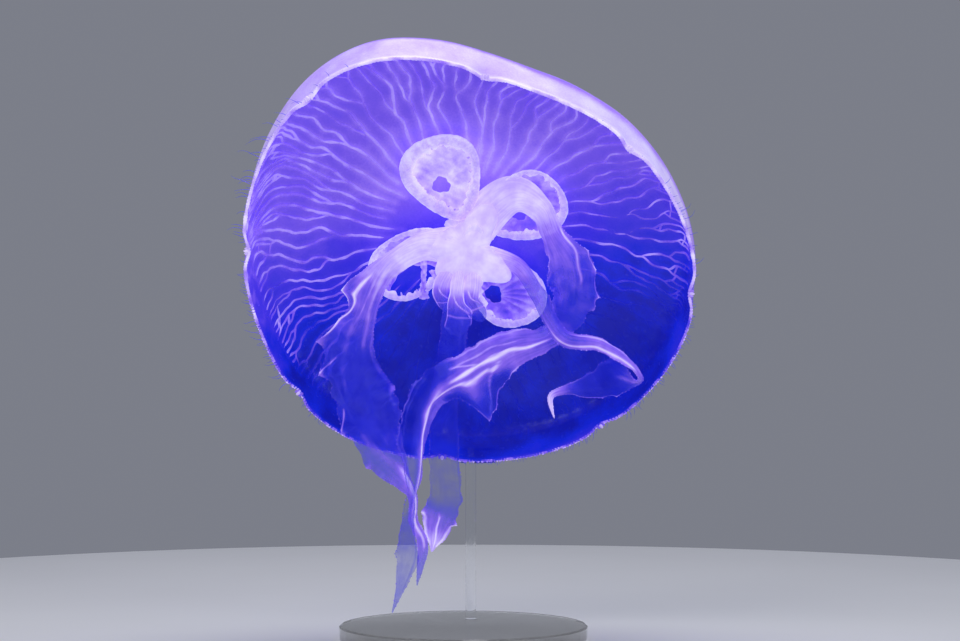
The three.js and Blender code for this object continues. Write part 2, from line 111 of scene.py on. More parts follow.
# Oral arms. Stations from mouth to tip, from the middle of the margin:
# across, back, up, half width left of the run, half width right of it, twist in degrees,
# and how milky the membrane is there.
# Pleats in an edge: share of the run, side, reach in mm, half length as a share.
# Lines that a fold draws, painted paler where the fold is seen edge-on: share and place across
# at its start, the same at its end, half width as a share of the arm's, and how much milkier it is.
ARMS = {
    "arm_left": dict(
        nodes=("arm_left_root", "arm_left_middle", "arm_left_tip"),
        stations=(
            (-2, 12, 14, 12, 11, 0, 0.92),
            (-22, 1, 17, 5, 11, 0, 0.92),
            (-38, -3, 9, 3, 10, 0, 0.88),
            (-48, -1, -4, 6, 8, 0, 0.66),
            (-56, 5, -24, 8, 8, 0, 0.44),
            (-62, 11, -45, 14, 13, 10, 0.28),
            (-60, 16, -68, 13, 20, 0, 0.20),
            (-52, 21, -88, 11, 19, 0, 0.22),
            (-38, 27, -107, 12, 8, 20, 0.36),
            (-28, 30, -124, 4, 3, 40, 0.5),
            (-27, 31, -140, 3.5, 3, 50, 0.6),
            (-23, 31, -154, 3, 3.5, 10, 0.5),
            (-26, 29, -176, 3, 3.5, 30, 0.28),
        ),
        pleats=((0.298, 1, 8.5, 0.028), (0.403, 1, 6.5, 0.014), (0.455, 1, 4.0, 0.014),
                (0.565, 1, 4.0, 0.014), (0.64, 1, 2.0, 0.012), (0.52, -1, 1.2, 0.02)),
        lines=((0.235, 0.4, 0.402, 0.96, 0.06, 0.50), (0.42, 0.5, 0.455, 0.95, 0.04, 0.4),
               (0.25, 0.99, 0.34, 0.99, 0.04, 0.20), (0.25, 0.80, 0.335, 0.80, 0.14, -0.16),
               (0.52, 0.72, 0.565, 0.97, 0.04, 0.5), (0.20, -0.3, 0.42, -0.55, 0.12, 0.18),
               (0.21, -0.9, 0.60, -0.92, 0.06, 0.12), (0.33, 0.2, 0.52, 0.3, 0.12, 0.10),
               (0.40, 0.7, 0.56, 0.55, 0.05, 0.12), (0.24, -0.05, 0.36, 0.1, 0.05, 0.14),
               (0.56, 0.5, 0.72, -0.1, 0.2, 0.16), (0.66, -0.2, 0.82, 0.0, 0.35, 0.4),
               (0.80, 0.3, 0.93, -0.3, 0.3, 0.3)),
    ),
    "arm_right": dict(
        nodes=("arm_right_root", "arm_right_middle", "arm_right_tip"),
        stations=(
            (8, 13, 22, 9, 16, 0, 0.92),
            (27, 3, 39, 7, 14, 0, 0.92),
            (43, -2, 35, 8, 6, 0, 0.9),
            (50, 0, 20, 7, 6, 0, 0.62),
            (61, 5, 2, 15, 10, 0, 0.35),
            (62, 12, -18, 14, 9, 0, 0.30),
            (49, 20, -36, 7, 6, 0, 0.42),
            (24, 22, -43, 10, 12, 0, 0.60),
            (3, 22, -55, 10, 14, 10, 0.54),
            (-16, 22, -70, 13, 7, 15, 0.46),
            (-23, 22, -90, 13, 4, 25, 0.44),
            (-25, 21, -112, 7, 3, 45, 0.5),
            (-30, 22, -138, 5, 4, 45, 0.26),
            (-31, 24, -162, 7, 6, 10, 0.16),
            (-40, 26, -191, 3, 3, 0, 0.24),
        ),
        pleats=((0.30, -1, 2.0, 0.02), (0.342, -1, 2.6, 0.008), (0.36, -1, 2.5, 0.008),
                (0.588, -1, 18.0, 0.026), (0.79, 1, 2.0, 0.01)),
        lines=((0.19, -0.85, 0.325, -0.2, 0.09, 0.34), (0.235, -0.98, 0.375, -0.98, 0.03, 0.26),
               (0.21, 0.5, 0.38, 0.62, 0.22, 0.12), (0.22, 0.95, 0.36, 0.95, 0.05, 0.14),
               (0.22, -0.1, 0.34, 0.05, 0.3, 0.10), (0.41, -0.2, 0.62, 0.0, 0.10, 0.5),
               (0.60, 0.0, 0.87, -0.4, 0.16, 0.5), (0.86, -0.9, 0.97, -0.6, 0.1, 0.16),
               (0.51, -0.45, 0.655, -0.2, 0.05, 0.4), (0.44, 0.92, 0.60, 0.92, 0.06, 0.16),
               (0.45, 0.3, 0.60, 0.55, 0.05, 0.2), (0.48, -0.99, 0.588, -0.99, 0.03, 0.36),
               (0.51, -0.3, 0.583, -0.85, 0.04, 0.25), (0.55, 0.1, 0.60, 0.6, 0.05, 0.25),
               (0.49, -0.85, 0.64, -0.85, 0.3, -0.42), (0.56, 0.75, 0.87, 0.75, 0.50, -0.46),
               (0.59, 0.97, 0.85, 0.97, 0.03, 0.34), (0.60, 0.80, 0.84, 0.80, 0.04, 0.24)),
    ),
    "arm_hooked": dict(
        nodes=("arm_hooked_root", "arm_hooked_tip"),
        stations=(
            (13, 11, 9, 6, 6, 0, 0.98),
            (30, 4, 3, 4.5, 4.5, 0, 0.66),
            (41, 4, -13, 4, 4, 0, 0.34),
            (55, 9, -36, 4.5, 4.5, 0, 0.44),
            (76, 13, -40, 4, 4, 20, 0.62),
            (93, 15, -50, 4, 3, 45, 0.62),
            (99, 19, -60, 4, 4, 60, 0.5),
            (88, 24, -64, 15, 5, 30, 0.16),
            (72, 28, -66, 10, 5, 15, 0.15),
            (58, 30, -66, 3, 2.5, 0, 0.45),
            (49, 30, -70, 1.7, 1.7, 0, 0.8),
            (51, 29, -82, 1.5, 1.5, 0, 0.9),
        ),
        pleats=((0.20, -1, 1.5, 0.02), (0.66, -1, 1.2, 0.01)),
        lines=((0.2, 0.6, 0.5, 0.6, 0.16, 0.34), (0.25, -0.75, 0.55, -0.7, 0.12, 0.26),
               (0.08, 0.2, 0.30, 0.1, 0.4, 0.06), (0.56, -0.97, 0.82, -0.97, 0.05, 0.34),
               (0.62, 0.95, 0.82, 0.9, 0.05, 0.2), (0.56, 0.2, 0.66, 0.5, 0.1, 0.16)),
    ),
    "arm_trailing": dict(
        nodes=("arm_trailing_root", "arm_trailing_tip"),
        stations=(
            (0, 11, 3, 8, 8, 0, 0.95),
            (-3, 12, -18, 8, 8, 0, 0.36),
            (-7, 27, -43, 7, 8, 0, 0.14),
            (-11, 37, -72, 8, 8, 0, 0.1),
            (-11, 42, -101, 8, 9, 10, 0.07),
            (-10, 44, -126, 9, 9, 10, 0.09),
            (-14, 42, -141, 9, 9, 10, 0.5),
            (-18, 39, -158, 2.5, 2.5, 10, 0.9),
        ),
        pleats=((0.84, 1, 1.5, 0.014), (0.85, -1, 2.5, 0.014)),
        lines=((0.1, -0.4, 0.4, -0.6, 0.1, 0.1), (0.1, -0.9, 0.86, -0.92, 0.06, 0.1),
               (0.80, 0.1, 0.99, -0.1, 0.08, 0.45), (0.80, 0.95, 0.97, 0.8, 0.12, 0.3),
               (0.80, -0.95, 0.97, -0.8, 0.12, 0.3)),
    ),
}

# The mouth's outline from the middle of its root to the bottom of its funnel: radius, level.
MOUTH_OUTLINE = (
    (0, -34.5), (6, -34.6), (12, -34.2), (10.6, -31), (9.5, -28), (8.7, -24), (8.5, -21),
    (8.5, -18), (9, -15), (10.3, -11.5), (11.8, -9), (11.2, -8), (9.5, -8.3), (7, -10.5),
    (4.5, -14), (2.2, -16.8), (0, -18),
)

# Frilled lips that hang from the mouth, as short arms, and the lines of their folds, painted
# paler where a fold is seen edge-on.
LIPS = (
    ((-1, 8, 4, 5, 5, 0, 0.92), (-3, -5, -8, 4, 4, 0, 0.86), (-4, -6, -16, 4, 5, 10, 0.56),
     (-4, -6, -23, 5, 10, 0, 0.36), (-3, -5, -31, 6, 8, 10, 0.24), (-2, -4, -36, 2, 2, 0, 0.2)),
    ((5, 8, 4, 6, 6, 0, 0.92), (5, -4, -8, 6, 5, 0, 0.82), (4, -5, -16, 5, 5, -20, 0.5),
     (9, -4, -23, 6, 4, 0, 0.3), (10, -3, -28, 2, 2, 0, 0.24)),
    ((-6, 7, 2, 5, 6, 0, 0.92), (-11, -4, -7, 5, 8, 0, 0.74), (-12, -5, -14, 4, 9, 10, 0.46),
     (-11, -5, -19, 2, 6, 0, 0.36), (-9, -5, -22, 2, 2, 0, 0.3)),
)
LIP_LINES = ((0.2, 0.95, 0.8, 0.95, 0.07, 0.34), (0.25, -0.95, 0.85, -0.95, 0.07, 0.34),
             (0.3, 0.3, 0.66, -0.75, 0.08, 0.3), (0.60, 0.9, 0.72, -0.9, 0.30, 0.26))

# The pale mass where the arms meet: its middle in the room, its reach, how far its front and back
# stand out, and for each bulge of its outline the heading, reach and half width in degrees.
MEETING = (2.0, -26.0, 218.0)
MEETING_REACH = 12.0
MEETING_FRONT = 7.5
MEETING_BACK = 2.0
MEETING_BULGES = (
    (60, 17, 26), (118, 3, 26), (172, 12, 26), (220, 7, 18), (262, 9, 34), (326, 17, 24))

# No tentacle grows within so many degrees of a notch.
NOTCH_CLEARANCE = 1.1

# Long tentacles: heading in degrees, half width in degrees, and length added in mm.
TENTACLE_TUFTS = ((148, 28, 16.0), (12, 16, 17.0), (205, 22, 9.0), (325, 26, 5.0))

# Grids: rows and columns, or points round.
OUTSIDE_ROWS = 64
LIP_ROWS = 5
INSIDE_ROWS = 100
CANAL_STEPS = 76
LINKS = 90
LINK_STEPS = 12
MARGIN_STEPS = 900
TENTACLE_STEPS = 9
BULB_GRID = (5, 6)
BEAD_GRID = (4, 5)
CLUB_GRID = (14, 18)
GONAD_OUTLINE_STEPS = 60
BAND_STEPS = 420
BAND_SIDES = 20
STRAND_STEPS = 40
FILAMENTS = 30
FILAMENT_STEPS = 8
POUCH_STEPS = 180
POUCH_ROWS = 26
MEETING_GRID = (40, 120)
MOUTH_GRID = (70, 240)
LIP_GRID = (110, 32)
ARM_ROWS_PER_STATION = 26
ARM_COLUMNS = 48

UP = np.array([0.0, 0.0, 1.0])

# --- Small sums that many pieces share ---

def ease(x, low, high):
    """0 below low, 1 above high, and 3t^2 - 2t^3 between them."""
    t = np.clip((x - low) / (high - low), 0, 1)
    return t * t * (3 - 2 * t)


def swell(x, middle, width):
    """A bell curve: exp(-((x - middle) / width)^2)."""
    return np.exp(-(((x - middle) / width) ** 2))


def blend(a, b, share):
    """a + (b - a) * share."""
    return a + (b - a) * share


def unit(vectors):
    """Vectors of length 1 along the last axis."""
    return vectors / np.maximum(np.linalg.norm(vectors, axis=-1, keepdims=True), 1e-9)


def clouds(points, wavelength, seed, count=10):
    """Soft noise of about -1 to 1: a mean of plane sine waves in seeded random directions."""
    rng = np.random.default_rng(seed)
    heading = unit(rng.normal(size=(count, 3)))
    rate = TAU / wavelength * rng.uniform(0.7, 1.5, count)
    phase = rng.uniform(0, TAU, count)
    total = np.zeros(points.shape[:-1])
    for way, speed, start in zip(heading, rate, phase):
        total += np.sin(points @ (way * speed) + start)
    return total * math.sqrt(2 / count) / 1.6


def away(angle, middle):
    """Signed turn from middle to angle, from -pi to pi."""
    return (angle - middle + np.pi) % TAU - np.pi


def near(angle, middle, width):
    """A bell curve round a heading; the heading and its half width are in degrees."""
    return swell(away(angle, math.radians(middle)), 0, math.radians(width))


def full_turn(count):
    """Equal turns round a circle, up to but without its start."""
    return np.arange(count) / count * TAU


def outward(angle):
    """Flat directions of length 1 at these turns."""
    return np.stack([np.cos(angle), np.sin(angle), 0 * angle], -1)


def quarter_turn(ways):
    """Flat directions a quarter turn further on."""
    return np.stack([-ways[..., 1], ways[..., 0], 0 * ways[..., 0]], -1)


def ball(rows, columns):
    """A ball of radius 1: sin lat * cos lon, sin lat * sin lon, cos lat."""
    lat = np.linspace(0, np.pi, rows)
    lon = full_turn(columns)
    return np.stack([np.outer(np.sin(lat), np.cos(lon)), np.outer(np.sin(lat), np.sin(lon)),
                     np.outer(np.cos(lat), np.ones(columns))], -1)


# --- The bell's surface ---

def rhopalium_angle(k):
    """Turn of the k-th of the eight notches."""
    return math.radians(FIRST_RHOPALIUM + k * 360 / LOBES)


def margin_radius(angle):
    """Mean radius times 1 + the sum of size * cos(waves * (angle - crest))."""
    share = np.ones_like(angle)
    for waves, size, crest in RIM_WAVES:
        share = share + size * np.cos(waves * (angle - math.radians(crest)))
    return BELL_RADIUS * share


def from_notch(angle):
    """Signed turn from the nearest notch."""
    step = TAU / LOBES
    off = (angle - rhopalium_angle(0)) / step
    return (off - np.round(off)) * step


def notch(angle):
    """Depth of the margin's notch: a narrow bell curve at each rhopalium."""
    return NOTCH_DEPTH * swell(from_notch(angle), 0, math.radians(NOTCH_WIDTH))


def profile(share):
    """Reach and height of the outside from crown (0) to margin (1).

    A superellipse as far as the shoulder, then a flank that stands straight up."""
    shoulder = 1 - FLANK_SHARE
    turn = np.clip(share / shoulder, 0, 1) * (np.pi / 2)
    power = 2 / BELL_SHAPE
    reach = np.sin(turn) ** power
    height = blend(FLANK_HEIGHT, BELL_HEIGHT, np.maximum(np.cos(turn), 0) ** power)
    flank = share > shoulder
    return (np.where(flank, 1.0, reach),
            np.where(flank, FLANK_HEIGHT * (1 - share) / FLANK_SHARE, height))


def bell_thickness(share):
    """Thickness of the jelly: (1 - share^2)^1.5 from the margin's to the crown's."""
    return blend(MARGIN_THICKNESS, CROWN_THICKNESS, np.maximum(1 - share ** 2, 0) ** 1.5)


def bell_point(angle, share, depth):
    """Point of the bell in its own frame: the profile turned to this angle, stepped in along
    its normal by depth, notched at the margin and leaning as it closes."""
    angle, share, depth = np.broadcast_arrays(angle, share, depth)
    step = 0.01
    r0, h0 = profile(np.maximum(share - step, 0))
    r1, h1 = profile(np.minimum(share + step, 1))
    along = unit(np.stack([(r1 - r0) * BELL_RADIUS, h1 - h0], -1))
    reach, height = profile(share)
    radius = reach * margin_radius(angle) - notch(angle) * share ** NOTCH_FADE
    radius = np.maximum(radius + along[..., 1] * depth, 0)
    rise = height - along[..., 0] * depth
    lean = rise / BELL_HEIGHT
    return np.stack([
        radius * np.cos(angle) + CROWN_LEAN[0] * lean,
        radius * np.sin(angle) + CROWN_LEAN[1] * lean,
        -rise,
    ], -1)


def to_room(points):
    """Bell frame to the room's: turned about x until the mouth looks out and down, then moved."""
    x, y, z = points[..., 0], points[..., 1], points[..., 2]
    s, c = math.sin(BELL_TILT), math.cos(BELL_TILT)
    return np.stack([x, -s * y - c * z, c * y - s * z], -1) + BELL_CENTRE


# --- Meshes ---

CELL_CORNERS = np.array([[0, 0], [0, 1], [1, 1], [1, 0]])
MAP_EDGE = 0.02
WELD_DISTANCE = 2e-6


def strip_quads(strips, rows, columns, wrap_rows=False, wrap_columns=False):
    """Corners of every cell of some grids of rows x columns points, and the cell's numbers."""
    i = np.arange(rows if wrap_rows else rows - 1)[:, None]
    j = np.arange(columns if wrap_columns else columns - 1)[None, :]
    i2, j2 = (i + 1) % rows, (j + 1) % columns
    quads = np.stack([i * columns + j, i * columns + j2, i2 * columns + j2, i2 * columns + j], -1)
    cells = np.stack(np.broadcast_arrays(i, j), -1).reshape(-1, 2)
    shift = (np.arange(strips) * rows * columns)[:, None, None]
    return quads.reshape(1, -1, 4) + shift, cells


class Surface:
    """Points, quads, map corners and named values of one piece, gathered strip by strip."""

    def __init__(self):
        self.points, self.quads, self.maps, self.values = [], [], [], {}
        self.count = 0

    def add(self, points, wrap_rows=False, wrap_columns=False, flip=False, **values):
        """Adds grids of shape (strips, rows, columns, 3) in the room's frame."""
        points = np.asarray(points, float)
        if points.ndim == 3:
            points = points[None]
        strips, rows, columns, _ = points.shape
        quads, cells = strip_quads(strips, rows, columns, wrap_rows, wrap_columns)
        # Each strip gets a square of its own in the map, in as square an array as fits.
        side = math.ceil(math.sqrt(strips))
        span = np.array([rows if wrap_rows else rows - 1, columns if wrap_columns else columns - 1])
        place = (cells[:, None, :] + CELL_CORNERS[None]) / span
        square = np.stack([np.arange(strips) // side, np.arange(strips) % side], -1)
        uv = (square[:, None, None, :] + MAP_EDGE + (1 - 2 * MAP_EDGE) * place[None]) / side
        if flip:
            quads, uv = quads[..., ::-1], uv[..., ::-1, :]
        self.points.append(points.reshape(-1, 3))
        self.quads.append(quads.reshape(-1, 4) + self.count)
        self.maps.append(uv[..., ::-1].reshape(-1, 2))
        for key, value in values.items():
            full = np.broadcast_to(np.asarray(value, float), points.shape[:-1]).reshape(-1)
            self.values.setdefault(key, []).append((self.count, full))
        self.count += strips * rows * columns

    def add_bodies(self, points, milk):
        """Adds tubes or balls given in the bell's frame; milk is one value to a body or a ring."""
        milk = np.asarray(milk, float)
        while milk.ndim < points.ndim - 1:
            milk = milk[..., None]
        self.add(to_room(points), wrap_columns=True, flip=True, milk=milk)

    def piece(self, name, material, slot, *nodes):
        """Writes the mesh, welds its doubled points, hangs it on the root body, and hides the parts
        of the solid model that it stands for.
        """
        mesh = bpy.data.meshes.new(name)
        points = np.concatenate(self.points) * MM
        quads = np.concatenate(self.quads)
        maps = np.concatenate(self.maps)
        mesh.vertices.add(len(points))
        mesh.vertices.foreach_set("co", points.ravel())
        mesh.loops.add(quads.size)
        mesh.loops.foreach_set("vertex_index", quads.ravel())
        mesh.polygons.add(len(quads))
        mesh.polygons.foreach_set("loop_start", np.arange(0, quads.size, 4))
        mesh.polygons.foreach_set("use_smooth", np.ones(len(quads), bool))
        mesh.update(calc_edges=True)
        for key, runs in self.values.items():
            whole = np.zeros(len(points))
            for start, run in runs:
                whole[start:start + len(run)] = run
            mesh.attributes.new(key, "FLOAT", "POINT").data.foreach_set("value", whole)
        layer = mesh.uv_layers.new(name="OFBake")
        layer.data.foreach_set("uv", maps.ravel())
        weld(mesh)
        made = bpy.data.objects.new(name, mesh)
        bpy.context.scene.collection.objects.link(made)
        mesh.materials.append(material)
        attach(made, "root")
        if nodes:
            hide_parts(*nodes)


def weld(mesh):
    """Merges points that lie on each other, at poles and closed ends."""
    work = bmesh.new()
    work.from_mesh(mesh)
    bmesh.ops.remove_doubles(work, verts=work.verts, dist=WELD_DISTANCE)
    bmesh.ops.dissolve_degenerate(work, edges=work.edges, dist=1e-7)
    work.to_mesh(mesh)
    work.free()
    mesh.validate()


def tubes(path, up, half_width, half_height, sides=6):
    """Closed tubes: each point of a path gets a ring of path + side * w cos t + up * h sin t,
    and the two end rings are drawn in to a point."""
    run = unit(np.gradient(path, axis=-2))
    side = unit(np.cross(run, up))
    up = np.cross(side, run)
    turn = full_turn(sides)
    w = half_width[..., None, None] * np.cos(turn)[:, None]
    h = half_height[..., None, None] * np.sin(turn)[:, None]
    rings = path[..., None, :] + side[..., None, :] * w + up[..., None, :] * h
    rings[..., 0, :, :] = path[..., 0, None, :]
    rings[..., -1, :, :] = path[..., -1, None, :]
    return rings


# --- Materials ---

BUMP_DEPTH = 0.0004
WATERY_IOR = 1.36
ACRYLIC_IOR = 1.49


def srgb(red, green, blue):
    """A colour out of 255 as linear light."""
    c = np.array([red, green, blue]) / 255
    return tuple(np.where(c <= 0.04045, c / 12.92, ((c + 0.055) / 1.055) ** 2.4))


class Nodes:
    """A material's node tree, built a node at a time."""

    def __init__(self, name):
        self.material = bpy.data.materials.new(name)
        self.material.use_nodes = True
        self.tree = self.material.node_tree
        self.shader = self.tree.nodes["Principled BSDF"]

    def node(self, kind, inputs=None, **settings):
        made = self.tree.nodes.new(kind)
        for key, value in settings.items():
            setattr(made, key, value)
        for key, value in (inputs or {}).items():
            self.join(value, made.inputs[key])
        return made

    def join(self, value, socket):
        if isinstance(value, bpy.types.NodeSocket):
            self.tree.links.new(value, socket)
        else:
            socket.default_value = value

    def value(self, name):
        return self.node("ShaderNodeAttribute", attribute_name=name).outputs["Fac"]

    def sum(self, kind, a, b, clamp=False):
        return self.node("ShaderNodeMath", {0: a, 1: b}, operation=kind,
                         use_clamp=clamp).outputs["Value"]

    def noise(self, scale, detail=2.0, vector=None):
        inputs = {"Scale": scale, "Detail": detail}
        inputs["Vector"] = vector or self.node("ShaderNodeTexCoord").outputs["Object"]
        return self.node("ShaderNodeTexNoise", inputs).outputs["Fac"]

    def ramp(self, factor, stops):
        made = self.node("ShaderNodeValToRGB", {"Fac": factor})
        band = made.color_ramp
        while len(band.elements) < len(stops):
            band.elements.new(0.5)
        for element, (place, colour) in zip(band.elements, stops):
            element.position = place
            element.color = (*colour, 1)
        return made.outputs["Color"]

    def remap(self, value, low, high, new_low, new_high):
        return self.node("ShaderNodeMapRange", {
            "Value": value, "From Min": low, "From Max": high,
            "To Min": new_low, "To Max": new_high}).outputs["Result"]

    def wet(self, colour, alpha, glow, gloss, height, bump):
        """Paints a glow in its own colour, standing in for the light it catches, has the sheen of
        water, and is bumped by the height.
        """
        normal = self.node("ShaderNodeBump", {
            "Height": height, "Strength": bump, "Distance": BUMP_DEPTH}).outputs["Normal"]
        return self.finish(base_color=colour, emission_color=colour, emission_strength=glow,
                           alpha=alpha, roughness=gloss, normal=normal, ior=WATERY_IOR)

    def finish(self, **inputs):
        for key, value in inputs.items():
            self.join(value, self.shader.inputs[key.replace("_", " ").title()
                                                .replace("Ior", "IOR")])
        return self.material


JELLY_COLOURS = (
    (0.0, srgb(2, 14, 156)),
    (0.13, srgb(8, 36, 204)),
    (0.38, srgb(74, 56, 212)),
    (0.60, srgb(120, 88, 222)),
    (0.78, srgb(164, 130, 238)),
    (1.0, srgb(212, 202, 248)),
)
MEMBRANE_COLOURS = (
    (0.0, srgb(10, 24, 190)),
    (0.3, srgb(54, 54, 214)),
    (0.6, srgb(144, 108, 230)),
    (0.85, srgb(200, 180, 244)),
    (1.0, srgb(228, 218, 252)),
)


def tissue(name, clear, milky, glow, colours=MEMBRANE_COLOURS, grain=0.1, fine=900.0, bump=0.2,
           rough=0.24):
    """Wet living tissue. The milk of each point picks the colour and the opacity between clear
    and milky, soft cloud and fine grain vary both, and the same colour is painted on as a faint
    glow."""
    n = Nodes(name)
    cloud = n.remap(n.noise(70.0, 3.0), 0.3, 0.7, -grain, grain)
    speck = n.remap(n.noise(fine, 2.0), 0.3, 0.7, -grain * 0.4, grain * 0.4)
    tone = n.sum("ADD", n.value("milk"), n.sum("ADD", cloud, speck), clamp=True)
    alpha = n.remap(tone, 0.0, 0.8, clear, milky)
    gloss = n.remap(n.noise(260.0, 2.0), 0.3, 0.7, rough - 0.05, rough + 0.08)
    return n.wet(n.ramp(tone, colours), alpha, glow, gloss, n.noise(fine * 0.6, 3.0), bump)


def acrylic():
    """Clear polished acrylic with a faint haze of fine scratches, which lets lamps through."""
    n = Nodes("clear_acrylic")
    scratch = n.noise(1400.0, 2.0)
    n.finish(base_color=(0.98, 0.99, 1.0, 1), transmission_weight=1.0, ior=ACRYLIC_IOR,
             roughness=n.remap(scratch, 0.4, 0.8, 0.02, 0.09))
    shadow = n.node("ShaderNodeLightPath").outputs["Is Shadow Ray"]
    clear = n.node("ShaderNodeBsdfTransparent").outputs["BSDF"]
    both = n.node("ShaderNodeMixShader", {0: shadow, 1: n.shader.outputs["BSDF"], 2: clear})
    n.join(both.outputs["Shader"], n.tree.nodes["Material Output"].inputs["Surface"])
    return n.material


def matt_floor():
    """Pale painted board, all but flat."""
    n = Nodes("pale_floor")
    tint = n.ramp(n.noise(6.0, 3.0), ((0.0, (0.78, 0.79, 0.81)), (1.0, (0.84, 0.85, 0.87))))
    return n.finish(base_color=tint, roughness=0.6)


# --- Bell, canals and margin ---

def haze(points):
    """How milky the mouth side of the bell is: more towards its top, which is painted light from
    above, and round the stomach.
    """
    x, y = points[..., 0], points[..., 1]
    out = np.hypot(x - MOUTH_CENTRE[0], y - MOUTH_CENTRE[1])
    return (0.02 + 0.54 * ease(y + 0.12 * np.abs(x) - 0.22 * x, -54, 62) ** 1.3
            + 0.24 * swell(out, 30, 34) * ease(y, -30, 45)
            + 0.20 * swell(np.hypot(x - 30, y + 6), 0, 26))


# The canals draw in beside this notch.
PUCKER_ANGLE = rhopalium_angle(3)


def canal_plan(settings):
    """Start, splits and lanes of the canals: trunks split twice on their way to the margin."""
    rng = np.random.default_rng(17)
    trunks = settings.canal_trunks
    lanes = 4 * trunks
    spread = rng.uniform(-0.24, 0.24, lanes)
    lane = TAU * (np.arange(lanes) + 0.5 + spread) / lanes
    limb = np.repeat(lane.reshape(-1, 2).mean(1), 2)
    trunk = np.repeat(lane.reshape(-1, 4).mean(1), 4)
    first = np.repeat(rng.uniform(0.32, 0.50, trunks), 4)
    second = np.repeat(rng.uniform(0.54, 0.80, 2 * trunks), 2)
    begin = np.repeat(rng.uniform(0.16, 0.22, trunks), 4)
    kind = np.arange(lanes) % 4
    start = np.select([kind == 0, kind == 2], [begin, first], second)
    reach = 0.965 - 0.085 * (1 - ease(np.sin(lane), 0.2, 0.7))
    reach = blend(reach, 0.955, swell(away(lane, PUCKER_ANGLE - 0.12), 0, 0.24))
    end = np.where(rng.random(lanes) < 0.22, rng.uniform(0.78, 0.88, lanes), reach)
    bright = rng.uniform(0.5, 1.0, lanes) * np.where(kind == 0, 1.0, 0.88)
    return dict(lane=lane, limb=limb, trunk=trunk, first=first, second=second, start=start,
                end=np.maximum(end, start + 0.08), bright=bright, count=lanes)


def canal_angle(plan, lane, share):
    """Turn of a canal at each share of the way out: from trunk to limb to lane, moved by
    clouds, bowed upwards on the left, and drawn in to the pucker beside one rhopalium."""
    turn = plan["trunk"][lane]
    turn = blend(turn, plan["limb"][lane], ease(share - plan["first"][lane], 0, 0.075))
    lanes = ease(share - plan["second"][lane], 0, 0.06)
    turn = turn + (plan["lane"][lane] - plan["limb"][lane]) * lanes
    place = bell_point(turn, share, 0)
    radius = np.maximum(profile(share)[0] * BELL_RADIUS, 20)
    sway = 3.4 * clouds(place, 62, 21) + 1.5 * clouds(place, 24, 22) + 0.5 * clouds(place, 10, 23)
    turn = turn + sway * ease(share, 0.16, 0.4) / radius
    turn = turn - 0.14 * near(turn, 176, 24) * swell(share, 0.6, 0.24)
    off = away(turn, PUCKER_ANGLE)
    pull = 0.6 * ease(share, 0.62, 0.9) * swell(off, 0, math.radians(13))
    return turn - off * pull


def canal_painted_light(points):
    """How bright the canals are: 0.8 at the top and left, easing to 0.08 at the bottom, which is
    painted light from above and the left.
    """
    x, y = points[..., 0], points[..., 1]
    return 0.08 + 0.72 * ease(y - 0.30 * x + 0.35 * np.abs(x), -44, 12)


def canal_marks(plan, angle, rows):
    """Strength of the canals in the skin: the nearest canal's bell curve, 2 mm wide."""
    turns = canal_angle(plan, np.arange(plan["count"])[None, :], rows[:, None])
    radius = np.maximum(profile(rows)[0] * BELL_RADIUS, 1)
    gap = away(angle[None, :, None], turns[:, None, :]) * radius[:, None, None]
    there = (rows[:, None] > plan["start"] - 0.01) & (rows[:, None] < plan["end"] + 0.01)
    return (swell(gap, 0, 2.0) * (plan["bright"] * there)[:, None, :]).max(-1)


def milk_inside(points, angle, share, marks):
    """Mouth side: haze that is paler towards the top, which is painted light from above, canals,
    clouds by the left margin, and a bloom above the low margin, which is a painted glow.
    """
    mottle = 0.32 * np.maximum(clouds(points, 9, 41), 0) * near(angle, 170, 30)
    mottle = mottle * ease(share, 0.84, 0.97)
    # A painted glow above the low margin.
    bloom = 0.14 * ease(share, 0.80, 0.98) * (0.5 + 0.7 * clouds(points, 34, 42))
    bloom *= ease(-points[..., 1], -10, 50)
    return haze(points) + 0.18 * marks + mottle + np.maximum(bloom, 0)


def milk_outside(points, share, top):
    """Outside: pale towards the top, paler still in a band along the margin that narrows on the
    right, and a bell curve over the gonads, which show through the crown. The paleness towards the
    top, and the band and the paler right, which grow towards the top, are painted light from above;
    seen from the mouth side, the curve over the gonads also stands as a painted glow round them."""
    x, y = points[..., 0], points[..., 1]
    border = 0.80 + 0.07 * ease(x, -10, 90)
    # Painted light from above: paler towards the top, and the band along the margin and the paler
    # right grow towards the top.
    milk = 0.10 + 0.55 * ease(y, -90, 60)
    milk = milk + 0.22 * ease(share, border - 0.04, border + 0.04) * top
    milk += 0.10 * ease(x, 0, 100) * top
    # Paler along the gonads' outlines: they show through the crown, and from the mouth side this
    # stands as a painted glow round them.
    turn = full_turn(GONAD_OUTLINE_STEPS)
    lines = np.concatenate([gonad_line(size, turn)[0][:, :2] for size in GONADS.values()])
    x, y = x[:OUTSIDE_ROWS], y[:OUTSIDE_ROWS]
    close = np.full(x.shape, np.inf)
    for line_x, line_y in lines:
        close = np.minimum(close, (x - line_x) ** 2 + (y - line_y) ** 2)
    milk[:OUTSIDE_ROWS] += 0.30 * swell(np.sqrt(close), 0, 5.0)
    return milk


DISC_RADIUS = 0.243


def two_disc_map(line, columns, first_inside):
    """Map corners of the bell's cells: the outside as one disc and the mouth side as another."""
    _, cells = strip_quads(1, len(line), columns, False, True)
    place = cells[:, None, :] + CELL_CORNERS[::-1][None]
    way = place[..., 1] / columns * TAU
    reach = np.interp(place[..., 0], np.arange(len(line)), line)
    side = (place[:, :1, 0] >= first_inside).astype(float)
    return np.stack([0.25 + 0.5 * side + DISC_RADIUS * reach * np.cos(way),
                     0.5 + DISC_RADIUS * reach * np.sin(way)], -1).reshape(-1, 2)


